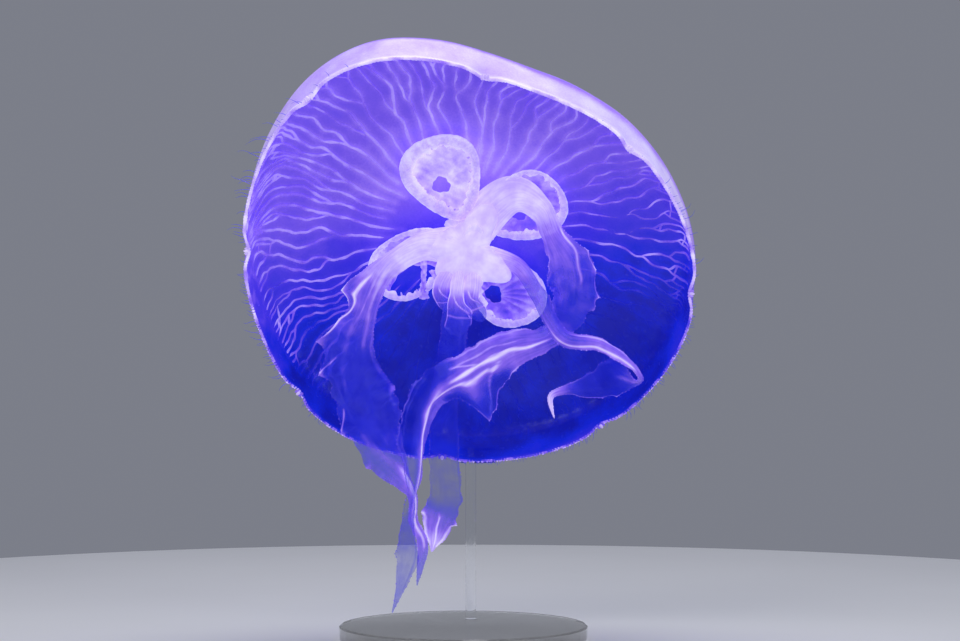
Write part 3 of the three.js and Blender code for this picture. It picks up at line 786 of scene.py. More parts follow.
def make_bell(settings):
    """The bell's skin: the outside from crown to margin, a round lip, and the mouth side back
    to the crown, all as one surface turned through a full circle."""
    angle = full_turn(settings.bell_columns)
    outer = np.sin(np.linspace(0, 1, OUTSIDE_ROWS) * np.pi / 2)
    inner = np.sin(np.linspace(1, 0, INSIDE_ROWS) * np.pi / 2)
    turn = np.linspace(0, np.pi, LIP_ROWS + 2)[1:-1]
    lip_depth = (1 - np.cos(turn)) / 2 * MARGIN_THICKNESS
    rows = np.concatenate([outer, np.ones(LIP_ROWS), inner])
    share = rows[:, None]
    depth = np.concatenate([0 * outer, lip_depth, bell_thickness(inner)])[:, None]
    first_inside = OUTSIDE_ROWS + LIP_ROWS // 2
    inside = (np.arange(len(rows)) >= first_inside).astype(float)[:, None]
    points = bell_point(angle[None], share, depth)
    points[OUTSIDE_ROWS:-INSIDE_ROWS, :, 2] += (np.sin(turn) * MARGIN_THICKNESS * 0.7)[:, None]
    # Low lumps in the jelly, and soft radial folds on the mouth side near the margin.
    lump = 0.5 * clouds(points, 40, 31) * ease(share, 0, 0.2) * (1 - ease(share, 0.9, 1))
    fold = np.sin(angle * 74 + 2 * np.sin(angle * 5)) * ease(share, 0.6, 0.86)
    fold = 0.35 * inside * fold * (1 - ease(share, 0.95, 1))
    points[..., 2] += lump + fold

    # The canals' marks carry their painted light from above and the left.
    marks = canal_marks(canal_plan(settings), angle, rows) * canal_painted_light(points)
    # Painted light from above: how far towards the top each point is.
    top = ease(points[..., 1], -60, 50)
    outside = milk_outside(points, share, top) + 0.10 * marks * (1 - ease(share, 0.7, 0.85))
    milk = blend(outside, milk_inside(points, angle, share, marks), inside)
    # A pale line along the margin, paler still towards the top, which is painted light from above.
    milk += 0.22 * swell(share, 1.0, 0.012) * (0.4 + 0.6 * top)
    surface = Surface()
    surface.add(to_room(points), wrap_columns=True, flip=True, milk=milk)
    line = np.concatenate([outer, np.linspace(1.003, 1.012, LIP_ROWS), inner])
    surface.maps = [two_disc_map(line, settings.bell_columns, first_inside)]
    material = tissue("bell_jelly", 0.84, 0.96, 0.42, JELLY_COLOURS, grain=0.05, bump=0.12,
                      rough=0.2)
    nodes = ["bell_crown"] + [f"bell_lobe_{k + 1}" for k in range(LOBES)]
    surface.piece("bell_skin", material, "bell", *nodes)


def make_canals(settings):
    """Radial canals as low ridges on the mouth side, with short cross links between them."""
    plan = canal_plan(settings)
    surface = Surface()
    rng = np.random.default_rng(29)

    def lay(turn, share, bright, t):
        skin = bell_thickness(share)
        path = bell_point(turn, share, skin + 0.25)
        up = unit(bell_point(turn, share, skin + 1.25) - path)
        beads = 1 + 0.25 * clouds(path, 7, 51)
        taper = ease(t, 0, 0.05) * ease(1 - t, 0, 0.06)
        bold = near(turn, 158, 42)
        wide = settings.canal_width / MM / 2 * beads * (0.5 + 0.5 * bright) * (1 + 0.3 * bold)
        # Painted light: the canals are paler towards the top and the left.
        shine = canal_painted_light(path) * (0.55 + 0.45 * bright) * (0.9 + 0.2 * clouds(path, 15, 52))
        shine = np.clip(shine + 0.04 * bold, haze(path) + 0.05, 0.74)
        rings = tubes(path, up, wide * taper, 0.55 * wide * taper)
        surface.add_bodies(rings, shine)

    lanes = np.arange(plan["count"])[:, None]
    t = np.linspace(0, 1, CANAL_STEPS)[None]
    share = blend(plan["start"][lanes], plan["end"][lanes], t)
    lay(canal_angle(plan, lanes, share), share, plan["bright"][lanes], t)
    # Cross links.
    lane = rng.integers(0, plan["count"] - 1, LINKS)[:, None]
    low = np.maximum(plan["start"][lane], plan["start"][lane + 1]) + 0.03
    begin = blend(low, np.maximum(low, 0.80), rng.random((LINKS, 1)))
    t = np.linspace(0, 1, LINK_STEPS)[None]
    share = begin + 0.035 * t
    turn = blend(canal_angle(plan, lane, share), canal_angle(plan, lane + 1, share), ease(t, 0, 1))
    lay(turn, share, rng.uniform(0.5, 0.9, (LINKS, 1)), 0.5 + 0 * t)
    material = tissue("canal_lining", 0.05, 0.9, 0.42, grain=0.06, rough=0.25)
    surface.piece("radial_canals", material, "bell")


def margin_cord(surface):
    """The cord that runs all round the margin, thick and milky towards the top; the milk there is
    painted light from above.
    """
    angle = full_turn(MARGIN_STEPS)
    path = bell_point(angle, 1.0, MARGIN_THICKNESS / 2)
    path[..., 2] += 0.3
    upper = ease(path[:, 1], -70, 20)
    thick = 0.58 + 0.34 * upper + 0.16 * np.sin(angle * 410) + 0.12 * clouds(path, 6, 61)
    turn = full_turn(6)
    rings = (path[:, None] + outward(angle)[:, None] * (thick[:, None] * np.cos(turn))[..., None]
             + UP * (thick[:, None] * np.sin(turn))[..., None])
    # Paler towards the top: painted light from above.
    edge = 0.55 + 0.32 * upper + 0.14 * clouds(path, 12, 62)
    surface.add(to_room(rings), wrap_rows=True, wrap_columns=True, flip=True,
                milk=edge[:, None])


def tentacle_paths(rng, angle, base, bare):
    """Middle line of each tentacle: straight out, bowed sideways with the square of the share,
    rippled, and lifted towards the mouth side."""
    count = len(angle)
    length = 1.2 + 2.0 * rng.random(count)
    length *= 0.35 + 0.65 * ease(clouds(base, 34, 63), -0.5, 0.5)
    for middle, width, extra in TENTACLE_TUFTS:
        length += extra * near(angle, middle, width) * rng.random(count) ** 2.2
    length *= np.where(rng.random(count) < 1.15 * bare, 0.12, 1.0)
    length = length[:, None]
    curl = 0.45 * np.sin(3 * angle + 1) + rng.uniform(-0.35, 0.35, count)
    lift = rng.uniform(-0.1, 0.55, count)
    wave = rng.uniform(0, TAU, count)
    t = np.linspace(0, 1, TENTACLE_STEPS)
    out = outward(angle)
    sway = curl[:, None] * length * t ** 2 + 0.05 * length * np.sin(t * 6 + wave[:, None]) * t
    path = (base[:, None] + out[:, None] * (t * length * (1 - 0.22 * t))[..., None]
            + quarter_turn(out)[:, None] * sway[..., None]
            + UP * (lift[:, None] * length * t ** 1.5)[..., None])
    return path, t


def make_margin(settings):
    """The margin: a cord, a small ball of a bulb to each tentacle, and fine tentacles that curl
    off it. Next to the notches there are none, and along the top hardly any show."""
    rng = np.random.default_rng(43)
    surface = Surface()
    margin_cord(surface)
    count = settings.tentacles
    angle = (np.arange(count) + rng.uniform(-0.3, 0.3, count)) / count * TAU
    angle = angle[np.abs(from_notch(angle)) > math.radians(NOTCH_CLEARANCE)]
    count = len(angle)
    base = bell_point(angle, 1.0, MARGIN_THICKNESS / 2)
    base += (outward(angle) + 0.6 * UP) * 0.5
    bare = near(angle, 80, 52) ** 0.5
    size = rng.uniform(0.5, 0.85, count) * (1 - 0.7 * bare)
    bulbs = base[:, None, None] + ball(*BULB_GRID) * size[:, None, None, None]
    surface.add_bodies(bulbs, blend(rng.uniform(0.5, 0.85, count), 0.8, bare))
    path, t = tentacle_paths(rng, angle, base, bare)
    each = np.ones((count, 1))
    thick = blend(settings.tentacle_root / MM, 0.06, t ** 0.8) * each
    surface.add_bodies(tubes(path, UP, thick, thick, 4), (0.42 - 0.36 * t) * each)
    material = tissue("margin_tissue", 0.3, 0.98, 0.5)
    surface.piece("margin_tentacles", material, "bell")


# A sense organ: shift, size (out, along the margin, up) and milkiness of its club and lappets.
RHOPALIUM_PARTS = (
    ((0, 0, 0), (1.5, 0.95, 0.95), 0.8),
    ((-0.6, 1.6, -0.1), (1.7, 0.75, 0.5), 0.5),
    ((-0.6, -1.6, -0.1), (1.7, 0.75, 0.5), 0.5),
)


def make_rhopalia():
    """Sense organs: an egg-shaped club in each notch, hooded by two small lappets."""
    surface = Surface()
    egg = ball(*CLUB_GRID)
    egg[..., :2] *= 1 - 0.25 * egg[..., 2:]
    for k in range(LOBES):
        angle = rhopalium_angle(k)
        out = outward(angle)
        middle = bell_point(angle, 1.0, MARGIN_THICKNESS / 2) + out * 1.5 + 0.7 * UP
        frame_of_notch = np.stack([out, quarter_turn(out), UP])
        for shift, size, tone in RHOPALIUM_PARTS:
            local = egg[..., [2, 0, 1]] * size + shift
            # Paler towards the top: painted light from above.
            milk = blend(tone, 0.92, ease(middle[1], -60, 50))
            surface.add_bodies(middle + local @ frame_of_notch, milk)
    material = tissue("sense_organ", 0.6, 1.0, 0.4)
    nodes = [f"rhopalium_{k + 1}" for k in range(LOBES)]
    surface.piece("rhopalia", material, "sense_organ", *nodes)


# --- Gonads, mouth and arms ---

def gonad_line(size, turn):
    """Middle line of a gonad's band: an ellipse that narrows towards the mouth, turned to its
    heading. Returns the points and the outward normal in the plane."""
    def line(turn):
        along = size["half"][0] * np.cos(turn)
        across = size["half"][1] * np.sin(turn) * (1 + size["pinch"] * np.cos(turn))
        way = math.radians(size["heading"])
        return np.stack([size["at"][0] + along * math.cos(way) - across * math.sin(way),
                         size["at"][1] + along * math.sin(way) + across * math.cos(way),
                         0 * turn - GONAD_LEVEL], -1)
    run = unit(line(turn + 0.01) - line(turn - 0.01))
    out = np.stack([run[..., 1], -run[..., 0], 0 * turn], -1)
    return line(turn), out


def gonad_band(surface, size):
    """The band: a tube round the middle line, crumpled most on its inner side."""
    line, out = gonad_line(size, full_turn(BAND_STEPS))
    band = size["band"] * (1 + 0.16 * clouds(line, 26, size["seed"]))
    way = np.arctan2(line[:, 1] - size["at"][1], line[:, 0] - size["at"][0])
    band *= 1 - size["thin"][1] * swell(away(way, math.radians(size["thin"][0])), 0, 1.0)
    spin = full_turn(BAND_SIDES)
    inner = ease(-np.cos(spin), -0.6, 0.8)
    reach = band[:, None] * np.cos(spin)
    plain = line[:, None] + out[:, None] * reach[..., None]
    plain[..., 2] += 0.62 * band[:, None] * np.sin(spin) + 0.6
    crumple = clouds(plain, 5.5, size["seed"] + 20, 16)
    crimp = clouds(plain, 2.6, size["seed"] + 21, 16)
    push = (0.5 * crumple + 0.3 * crimp) * (0.25 + 1.1 * inner)
    points = plain + out[:, None] * (push * np.cos(spin) - 0.4 * inner * crumple)[..., None]
    points[..., 2] += push * np.sin(spin)
    tone = 0.86 + 0.10 * swell(np.abs(np.cos(spin)), 1, 0.35) + 0.04 * crumple + 0.03 * crimp
    surface.add(to_room(points), wrap_rows=True, wrap_columns=True, milk=tone)


def gonad_strands(surface, size):
    """Strands across the hole: crumpled tubes, thickest at both ends."""
    for start, end, half in size["strands"]:
        t = np.linspace(0, 1, STRAND_STEPS)
        first, last = (np.array([*place, 1 - GONAD_LEVEL]) for place in (start, end))
        path = blend(first, last, t[:, None])
        path[:, :2] += 0.3 * np.stack([clouds(path, 9, 75), clouds(path, 9, 76)], -1)
        thick = half * (0.8 + 0.9 * (2 * t - 1) ** 2 + 0.1 * clouds(path, 5, 77))
        rings = tubes(path, UP, thick, 0.7 * thick, 14)
        crumple = clouds(rings, 3.0, size["seed"] + 40, 16)
        rings = rings + 0.2 * crumple[..., None] * (rings - path[:, None])
        surface.add_bodies(rings, 0.74 + 0.10 * crumple)


def gonad_filaments(surface, size):
    """Short bent filaments that point in from the band."""
    rng = np.random.default_rng(size["seed"])
    start = rng.uniform(0, TAU, FILAMENTS)
    root, way = gonad_line(size, start)
    length = rng.uniform(0.3, 1.7, FILAMENTS)[:, None]
    t = np.linspace(0, 1, FILAMENT_STEPS)
    bend = rng.uniform(-0.9, 0.9, FILAMENTS)[:, None]
    rise = rng.uniform(-0.5, 1.2, FILAMENTS)[:, None] + 0.5 * np.sin(5 * t + start[:, None])
    path = (root[:, None] - way[:, None] * (size["band"] * 0.75 + length * t)[..., None]
            + quarter_turn(way)[:, None] * (bend * length * t ** 2)[..., None]
            + UP * rise[..., None])
    thick = blend(0.6, 0.25, t)[None] * rng.uniform(0.7, 1.3, (FILAMENTS, 1))
    surface.add_bodies(tubes(path, UP, thick, thick, 5), rng.uniform(0.72, 0.88, FILAMENTS))


def gonad_hole(size, line):
    """Edge of the hole where each spoke from the line meets it: an ellipse with soft waves."""
    middle = np.array([*size["hole"], -GONAD_LEVEL])
    spoke = line - middle
    way = np.arctan2(spoke[:, 1], spoke[:, 0])
    rx, ry = size["hole_half"]
    tilt = math.radians(size["hole_turn"])
    far = 1 / np.sqrt((np.cos(way - tilt) / rx) ** 2 + (np.sin(way - tilt) / ry) ** 2)
    far = far * (1 + 0.10 * np.sin(3 * way + size["seed"]) + 0.05 * np.sin(7 * way + 1))
    return middle + far[:, None] * outward(way)


def make_gonad(name, size, materials):
    """One gonad: a closed frilled band with fine filaments and strands, and a thin pouch with a
    round hole. The pouch runs straight from band to hole, domed and pleated, with two faces."""
    frill = Surface()
    gonad_band(frill, size)
    gonad_strands(frill, size)
    gonad_filaments(frill, size)
    frill.piece(f"{name}_band", materials["gonad"], "gonad", name)

    turn = full_turn(POUCH_STEPS)
    line, _ = gonad_line(size, turn)
    share = np.linspace(0.02, 1, POUCH_ROWS)
    share = np.concatenate([share, share[::-1]])[:, None]
    face = np.repeat([0.3, -0.3], POUCH_ROWS)[:, None]
    face = face * np.where((share > 0.99) | (share < 0.03), 0.5, 1.0)
    points = line[None] + (gonad_hole(size, line) - line)[None] * share[..., None]
    pleat = np.sin(13 * turn + 3 * np.sin(2 * turn + size["seed"])) * np.sin(share * np.pi)
    dome = -3.6 * np.sin(share * np.pi / 2) + size["pleats"] * pleat
    mottle = clouds(points, 12, size["seed"] + 1)
    fleck = clouds(points, 4, size["seed"] + 2)
    points[..., 2] += dome + face + 0.4 * mottle
    tone = (size["veil"] + 0.20 * swell(share, 0, 0.3) + 0.05 * mottle + 0.04 * fleck
            + 0.10 * size["pleats"] * pleat + size["rim"] * swell(share, 1, 0.05))
    pouch = Surface()
    pouch.add(to_room(points), wrap_rows=True, wrap_columns=True, flip=True, milk=tone)
    pouch.piece(f"{name}_pouch", materials["pouch"], "gonad")


def meeting_of_arms():
    """The smooth mass where the arms meet: a flattened ball whose outline bulges towards each
    arm. Returns its points, and its tone, which is a little paler towards the outline."""
    rows, columns = MEETING_GRID
    lat = np.linspace(0, np.pi, rows)[:, None]
    lon = full_turn(columns)[None]
    reach = MEETING_REACH + 0.5 * np.sin(5 * lon + 1) + 0.5 * np.sin(17 * lon + 2 * np.sin(4 * lon))
    for heading, size, width in MEETING_BULGES:
        reach = reach + size * near(lon, heading, width)
    flat = reach * np.sin(lat)
    deep = np.where(np.cos(lat) > 0, MEETING_FRONT, MEETING_BACK) * np.cos(lat)
    points = np.stack([flat * np.cos(lon), 0 * flat - deep, flat * np.sin(lon)], -1) + MEETING
    points[..., 1] += 0.5 * clouds(points, 14, 95) * np.sin(lat)
    strand = 0.012 * np.sin(34 * lon + 3 * np.sin(3 * lon)) * np.sin(lat)
    tone = 0.91 + 0.02 * ease(np.sin(lat), 0.55, 1.0) + strand
    return points, tone


def make_mouth(materials):
    """The mouth: its outline turned about the mouth's middle, drawn out to four corners and
    ridged, with frilled lips hanging from it."""
    surface = Surface()
    rows, columns = MOUTH_GRID
    knots = np.array(MOUTH_OUTLINE, float)
    place = np.linspace(0, len(knots) - 1, rows)
    radius, level = (np.interp(place, np.arange(len(knots)), knots[:, k]) for k in (0, 1))
    kernel = np.array([1, 2, 3, 2, 1]) / 9
    radius[2:-2] = np.convolve(radius, kernel, "valid")
    level[2:-2] = np.convolve(level, kernel, "valid")
    radius, level = radius[:, None], level[:, None]
    turn = full_turn(columns)
    ridge = np.sin(38 * turn + 2.5 * np.sin(4 * turn))
    share = 1 + 0.28 * np.cos(4 * (turn - MOUTH_TURN))
    share = share * (1 + 0.012 * ridge * ease(radius, 3, 9))
    points = np.stack([MOUTH_CENTRE[0] + radius * share * np.cos(turn),
                       MOUTH_CENTRE[1] + radius * share * np.sin(turn),
                       level + 0.16 * ridge * ease(radius, 4, 9)], -1)
    tone = 0.93 + 0.01 * ridge * ease(radius, 3, 8)
    surface.add(to_room(points), wrap_columns=True, milk=tone, run=level * MM, across=turn[None])
    for k, stations in enumerate(LIPS):
        add_ribbon(surface, np.array(stations, float), (), LIP_LINES, LIP_GRID, 70 + k, 0.25)
    points, tone = meeting_of_arms()
    surface.add(points, wrap_columns=True, milk=tone)
    surface.piece("mouth_and_lips", materials["membrane"], "oral_arm", "mouth")


def curve(stations, share, item):
    """Catmull-Rom value of one column, or some columns, of the stations at each share."""
    last = len(stations) - 1
    run = np.clip(share, 0, 1) * last
    i = np.minimum(np.floor(run).astype(int), last - 1)
    f = (run - i)[..., None]
    a, b, c, d = (stations[np.clip(i + k, 0, last)][..., item] for k in (-1, 0, 1, 2))
    return b + 0.5 * f * (c - a + f * (2 * a - 5 * b + 4 * c - d + f * (3 * (b - c) + d - a)))


def arm_length(stations):
    """Length of an arm's midrib in mm."""
    line = curve(stations, np.linspace(0, 1, 200), slice(0, 3))
    return np.linalg.norm(np.diff(line, axis=0), axis=1).sum()


def arm_frame(stations, share):
    """Midrib, the way across the arm and the way its face looks, at each share."""
    step = 0.01
    midrib, ahead, behind = (
        curve(stations, share + move, slice(0, 3)) for move in (0, step, -step))
    tangent = unit(ahead - behind)
    left = unit(np.cross(tangent, (0.0, -1.0, 0.0)))
    normal = np.cross(left, tangent)
    twist = np.radians(curve(stations, share, slice(5, 6)))
    spread = left * np.cos(twist) + normal * np.sin(twist)
    return midrib, spread, np.cross(spread, tangent)


def drawn_lines(lines, share, across, sway):
    """Milk of the lines that folds draw, painted paler where a fold is seen edge-on: a bell curve
    across each, eased in and out.
    """
    drawn = 0 * share
    for share0, across0, share1, across1, half, strength in lines:
        t = (share - share0) / (share1 - share0)
        here = across0 + (across1 - across0) * ease(t, 0, 1) + sway
        window = ease(t, 0, 0.25) * ease(1 - t, 0, 0.12)
        drawn = drawn + strength * window * swell(across - here, 0, half)
    return drawn


def ribbon(stations, share, across, side, pleats, lines, seed, frill):
    """Points of an arm, and how milky it is: midrib + spread * across * width
    + face * (fold + waves + side * thickness). Edges are frilled by waves that grow with the
    cube of the distance from the midrib, and each pleat pushes one edge out and forward."""
    midrib, spread, face = arm_frame(stations, share)
    left, right, milk = (curve(stations, share, slice(k, k + 1))[..., 0] for k in (3, 4, 6))
    tip = ease(1 - share, -0.02, 0.09)
    wide = np.maximum(np.where(across > 0, left, right), 1.5) * tip
    run = share * arm_length(stations)
    edge = np.abs(across)
    free = ease(share, 0.1, 0.3)
    place = np.stack([run, 40 * np.sign(across) + 0 * run, 100.0 * seed + 0 * run], -1)
    ruffle = (1.1 * clouds(place, 26, seed + 30) + 0.5 * clouds(place, 10, seed + 31)
              + 0.16 * clouds(place, 4, seed + 32))
    waves = frill * free * wide * edge ** 3 * ruffle
    slow = 0.10 * wide * edge * np.sin(TAU * run / 60 + seed + 2 * across) * free
    reach = across * wide * (1 + 0.07 * free * edge ** 4 * clouds(place, 7, seed + 33))
    glow = 0 * share
    for spot, sign, size, half_length in pleats:
        # A pleat draws out slowly and ends sharply.
        before = np.maximum(spot - share, 0) / (1.6 * half_length)
        after = np.maximum(share - spot, 0) / (0.45 * half_length)
        bulge = np.exp(-(before + after) ** 1.3) * ease(across * sign, 0.2, 1.0)
        reach = reach + sign * size * bulge
        waves = waves + 0.5 * min(size, 5.0) * bulge
        # Painted light: the pleated edge is paler, where the fold is seen edge-on.
        glow = glow + 0.3 * swell(share, spot, 0.4 * half_length) * ease(across * sign, 0.7, 1)
    rib = blend(2.6, 0.42, ease(share, 0, 0.35))
    thick = blend(rib, 0.16, edge ** 2) * tip
    fold = 0.35 * wide * (1 - np.sqrt(1 + 3 * across ** 2))
    points = (midrib + spread * reach[..., None]
              + face * (fold + slow + waves + side * thick)[..., None])
    drift = 0.25 * np.sin(run / 31 + seed)
    streak = (swell(across, 0.15 + drift, 0.16) + 0.8 * swell(across, -0.45 + 0.6 * drift, 0.1)
              + 0.6 * swell(across, 0.6 - 0.4 * drift, 0.08)) * clouds(place, 40, seed + 34)
    crest = 0.14 * np.maximum(ruffle, 0) * edge ** 4 * free
    # The fold lines and the pleats' paleness are painted light.
    milk = (milk * (0.98 + 0.12 * streak * free + crest) + glow * free
            + drawn_lines(lines, share, across, 0.05 * clouds(place, 16, seed + 36)))
    return points, milk, run * MM


def add_ribbon(surface, stations, pleats, lines, grid, seed, frill):
    """Adds a whole arm as one closed sheet: its front from edge to edge, then its back."""
    rows, columns = grid
    share = np.linspace(0, 1, rows)[:, None]
    v = np.sin(np.linspace(-1, 1, columns) * np.pi / 2 * 0.96) / math.sin(np.pi / 2 * 0.96)
    across = np.concatenate([v, v[::-1]])[None]
    side = np.repeat([1.0, -1.0], columns)[None]
    share, across, side = np.broadcast_arrays(share, across, side)
    points, milk, run = ribbon(stations, share, across, side, pleats, lines, seed, frill)
    points = points + BELL_CENTRE
    points[0] = points[0].mean(0)
    points[-1] = points[-1].mean(0)
    surface.add(points, wrap_columns=True, milk=np.clip(milk, 0.03, 1), run=run, across=across)


def make_arm(name, plan, settings, materials, seed):
    """One oral arm from mouth to tip, with a row of beads along each edge."""
    stations = np.array(plan["stations"], float)
    shape = plan["pleats"], plan["lines"]
    surface = Surface()
    grid = ARM_ROWS_PER_STATION * len(stations), ARM_COLUMNS
    add_ribbon(surface, stations, *shape, grid, seed, settings.arm_frill)
    count = int(arm_length(stations) * 0.86 / settings.bead_gap * MM)
    share = np.tile(np.linspace(0.16, 0.985, count), 2)
    across = np.repeat([1.0, -1.0], count)
    edge, milk, run = ribbon(stations, share, across, 0 * share, *shape, seed, settings.arm_frill)
    rng = np.random.default_rng(seed + 90)
    size = rng.uniform(0.18, 0.42, 2 * count)
    points = edge[:, None, None] + BELL_CENTRE + ball(*BEAD_GRID) * size[:, None, None, None]
    surface.add(points, wrap_columns=True, flip=True,
                milk=(0.40 + 0.5 * np.clip(milk, 0, 1))[:, None, None],
                run=run[:, None, None], across=across[:, None, None])
    surface.piece(name, materials["membrane"], "oral_arm", *plan["nodes"])


def membrane():
    """Arm membrane: fine fibres run along it, over the same wet tissue."""
    n = Nodes("arm_membrane")
    along = n.sum("MULTIPLY", n.value("run"), 60.0)
    over = n.sum("MULTIPLY", n.value("across"), 7.0)
    place = n.node("ShaderNodeCombineXYZ", {"X": along, "Y": over}).outputs["Vector"]
    fibre = n.remap(n.noise(1.0, 3.0, place), 0.35, 0.65, -0.025, 0.03)
    cloud = n.remap(n.noise(120.0, 3.0), 0.3, 0.7, -0.07, 0.07)
    tone = n.sum("ADD", n.value("milk"), n.sum("ADD", fibre, cloud), clamp=True)
    alpha = n.remap(tone, 0.0, 0.85, 0.10, 0.94)
    gloss = n.remap(fibre, -0.025, 0.03, 0.2, 0.34)
    # The colour is also painted on as a faint glow.
    return n.wet(n.ramp(tone, MEMBRANE_COLOURS), alpha, 0.42, gloss, n.noise(1.0, 4.0, place), 0.1)


# --- The add-on ---

class JellyBellSettings(bpy.types.PropertyGroup):
    """Sizes of the bell that a user may change."""
    bell_columns: bpy.props.IntProperty(
        name="Columns", description="Points round the bell", default=480, min=64, max=720)
    canal_trunks: bpy.props.IntProperty(
        name="Canal trunks", description="Canals that leave the stomach", default=50, min=8,
        max=60)
    canal_width: bpy.props.FloatProperty(
        name="Canal width", description="Width of a bright canal", default=0.0015,
        unit="LENGTH", precision=4)
    tentacles: bpy.props.IntProperty(
        name="Tentacles", description="Tentacles round the margin", default=520, min=64, max=900)
    tentacle_root: bpy.props.FloatProperty(
        name="Tentacle root", description="Radius of a tentacle where it starts",
        default=0.00022, unit="LENGTH", precision=5)
    arm_frill: bpy.props.FloatProperty(
        name="Arm frill", description="Height of the frills in an arm's edges, as a share of "
        "its width", default=0.2, min=0, max=0.5, subtype="FACTOR")
    bead_gap: bpy.props.FloatProperty(
        name="Bead gap", description="Space between the beads on an arm's edge",
        default=0.0022, unit="LENGTH", precision=4)


class JellyStageSettings(bpy.types.PropertyGroup):
    """Light and floor."""
    floor_radius: bpy.props.FloatProperty(
        name="Floor radius", description="Radius of the round floor", default=0.6, unit="LENGTH")
    backdrop: bpy.props.FloatVectorProperty(
        name="Backdrop", description="Colour of the light all round", subtype="COLOR",
        default=(0.20, 0.21, 0.25), min=0, max=1)


# Lamps: name, place and width in metres, power in watts, colour.
LAMPS = (
    ("key", (-0.45, -0.75, 0.95), 0.7, 4.0, (1.0, 0.97, 1.0)),
    ("top", (0.05, 0.10, 0.95), 0.6, 3.0, (0.94, 0.95, 1.0)),
    ("fill", (0.7, -0.7, 0.45), 0.8, 2.4, (0.95, 0.96, 1.0)),
)
LAMP_TARGET = (0.0, -0.03, 0.19)
CAMERA_PLACE = (0.0093, -1.432, 0.179)
LENS = 95.45
SENSOR_WIDTH = 36.0


def add_lamp(scene, name, place, size, power, colour):
    """A square lamp whose beam points at the middle of the animal."""
    data = bpy.data.lights.new(name, "AREA")
    data.shape = "SQUARE"
    data.size = size
    data.energy = power
    data.color = colour
    lamp = bpy.data.objects.new(name, data)
    lamp.location = place
    x, y, z = np.subtract(LAMP_TARGET, place)
    lamp.rotation_euler = (math.atan2(math.hypot(x, y), -z), 0, math.atan2(y, x) - math.pi / 2)
    scene.collection.objects.link(lamp)


class JELLY_OT_bell(bpy.types.Operator):
    """Build the skin of the bell"""
    bl_idname = "jelly.bell"
    bl_label = "Bell"

    def execute(self, context):
        make_bell(context.scene.jelly)
        return {"FINISHED"}


class JELLY_OT_canals(bpy.types.Operator):
    """Lay the radial canals on the mouth side of the bell"""
    bl_idname = "jelly.canals"
    bl_label = "Radial canals"

    def execute(self, context):
        make_canals(context.scene.jelly)
        return {"FINISHED"}


class JELLY_OT_margin(bpy.types.Operator):
    """Build the margin with its tentacles and sense organs"""
    bl_idname = "jelly.margin"
    bl_label = "Margin"

    def execute(self, context):
        make_margin(context.scene.jelly)
        make_rhopalia()
        return {"FINISHED"}


class JELLY_OT_gonads(bpy.types.Operator):
    """Build the four gonads and their pouches"""
    bl_idname = "jelly.gonads"
    bl_label = "Gonads"

    def execute(self, context):
        materials = {
            "gonad": tissue("gonad_frill", 0.8, 1.0, 0.45, grain=0.08, fine=1400.0, bump=0.35,
                            rough=0.3),
            "pouch": tissue("pouch_skin", 0.45, 0.92, 0.42, grain=0.07),
        }
        for name, size in GONADS.items():
            make_gonad(name, size, materials)
        return {"FINISHED"}


class JELLY_OT_arms(bpy.types.Operator):
    """Build the mouth and the four oral arms"""
    bl_idname = "jelly.arms"
    bl_label = "Mouth and oral arms"

    def execute(self, context):
        materials = {"membrane": membrane()}
        make_mouth(materials)
        for seed, (name, plan) in enumerate(ARMS.items()):
            make_arm(f"oral_{name}", plan, context.scene.jelly, materials, seed + 1)
        return {"FINISHED"}


class JELLY_OT_stand(bpy.types.Operator):
    """Give the foot and the rod their clear acrylic"""
    bl_idname = "jelly.stand"
    bl_label = "Stand"

    def execute(self, context):
        clear = acrylic()
        for name in ("stand_foot", "stand_rod"):
            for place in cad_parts[name].material_slots:
                place.material = clear
        return {"FINISHED"}


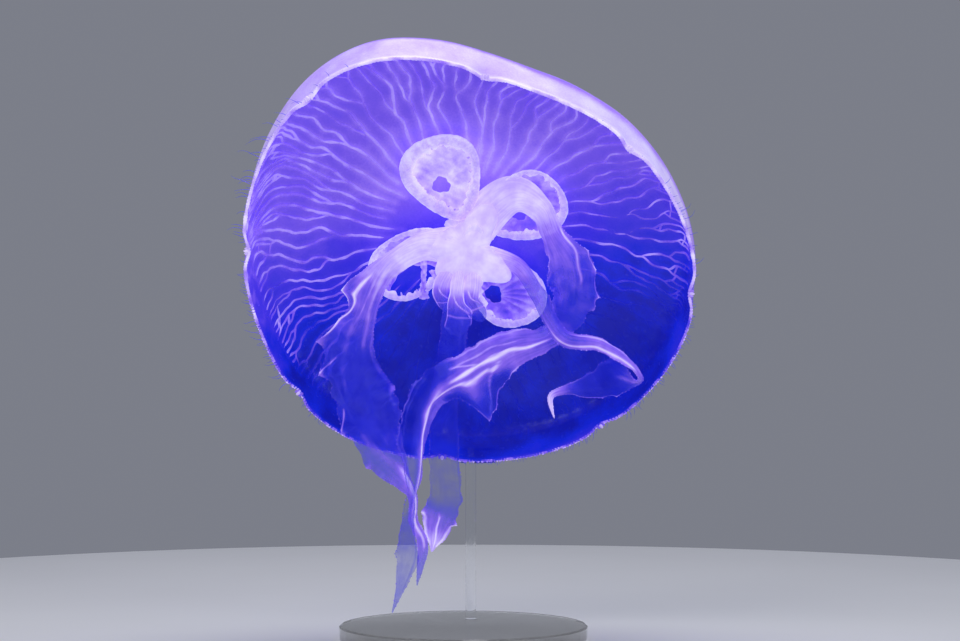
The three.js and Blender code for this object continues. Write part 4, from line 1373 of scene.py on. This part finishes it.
class JELLY_OT_stage(bpy.types.Operator):
    """Lay the floor, set the lamps and the camera"""
    bl_idname = "jelly.stage"
    bl_label = "Stage"

    def execute(self, context):
        scene = context.scene
        settings = scene.jelly_stage
        scene.view_settings.view_transform = "Standard"
        scene.cycles.transparent_max_bounces = 32
        bpy.ops.mesh.primitive_circle_add(
            vertices=128, radius=settings.floor_radius, fill_type="NGON")
        floor = context.object
        floor.name = "stage_floor"
        floor.data.materials.append(matt_floor())
        world = bpy.data.worlds.new("studio")
        scene.world = world
        world.use_nodes = True
        light = world.node_tree.nodes["Background"].inputs["Color"]
        light.default_value = (*settings.backdrop, 1)
        for lamp in LAMPS:
            add_lamp(scene, *lamp)
        data = bpy.data.cameras.new("camera")
        data.sensor_width = SENSOR_WIDTH
        data.lens = LENS
        camera = bpy.data.objects.new("camera", data)
        camera.location = CAMERA_PLACE
        camera.rotation_euler = (math.pi / 2, 0, 0)
        scene.collection.objects.link(camera)
        scene.camera = camera
        return {"FINISHED"}


STEPS = (JELLY_OT_bell, JELLY_OT_canals, JELLY_OT_margin, JELLY_OT_gonads, JELLY_OT_arms,
         JELLY_OT_stand, JELLY_OT_stage)


class JELLY_PT_panel(bpy.types.Panel):
    """Lists the sizes and the steps"""
    bl_idname = "JELLY_PT_panel"
    bl_label = "Jellyfish"
    bl_space_type = "VIEW_3D"
    bl_region_type = "UI"
    bl_category = "Jellyfish"

    def draw(self, context):
        for group in (context.scene.jelly, context.scene.jelly_stage):
            for key in group.bl_rna.properties.keys():
                if key not in ("rna_type", "name"):
                    self.layout.prop(group, key)
        for step in STEPS:
            self.layout.operator(step.bl_idname)


CLASSES = (JellyBellSettings, JellyStageSettings, *STEPS, JELLY_PT_panel)


def register():
    """Registers the classes and hangs the settings on the scene."""
    for kind in CLASSES:
        bpy.utils.register_class(kind)
    bpy.types.Scene.jelly = bpy.props.PointerProperty(type=JellyBellSettings)
    bpy.types.Scene.jelly_stage = bpy.props.PointerProperty(type=JellyStageSettings)


def unregister():
    """Takes them off again."""
    del bpy.types.Scene.jelly_stage
    del bpy.types.Scene.jelly
    for kind in reversed(CLASSES):
        bpy.utils.unregister_class(kind)


def main():
    """Builds every piece in order."""
    register()
    for step in STEPS:
        group, name = step.bl_idname.split(".")
        getattr(getattr(bpy.ops, group), name)()
    bpy.context.view_layer.update()


if __name__ == "__main__":
    main()
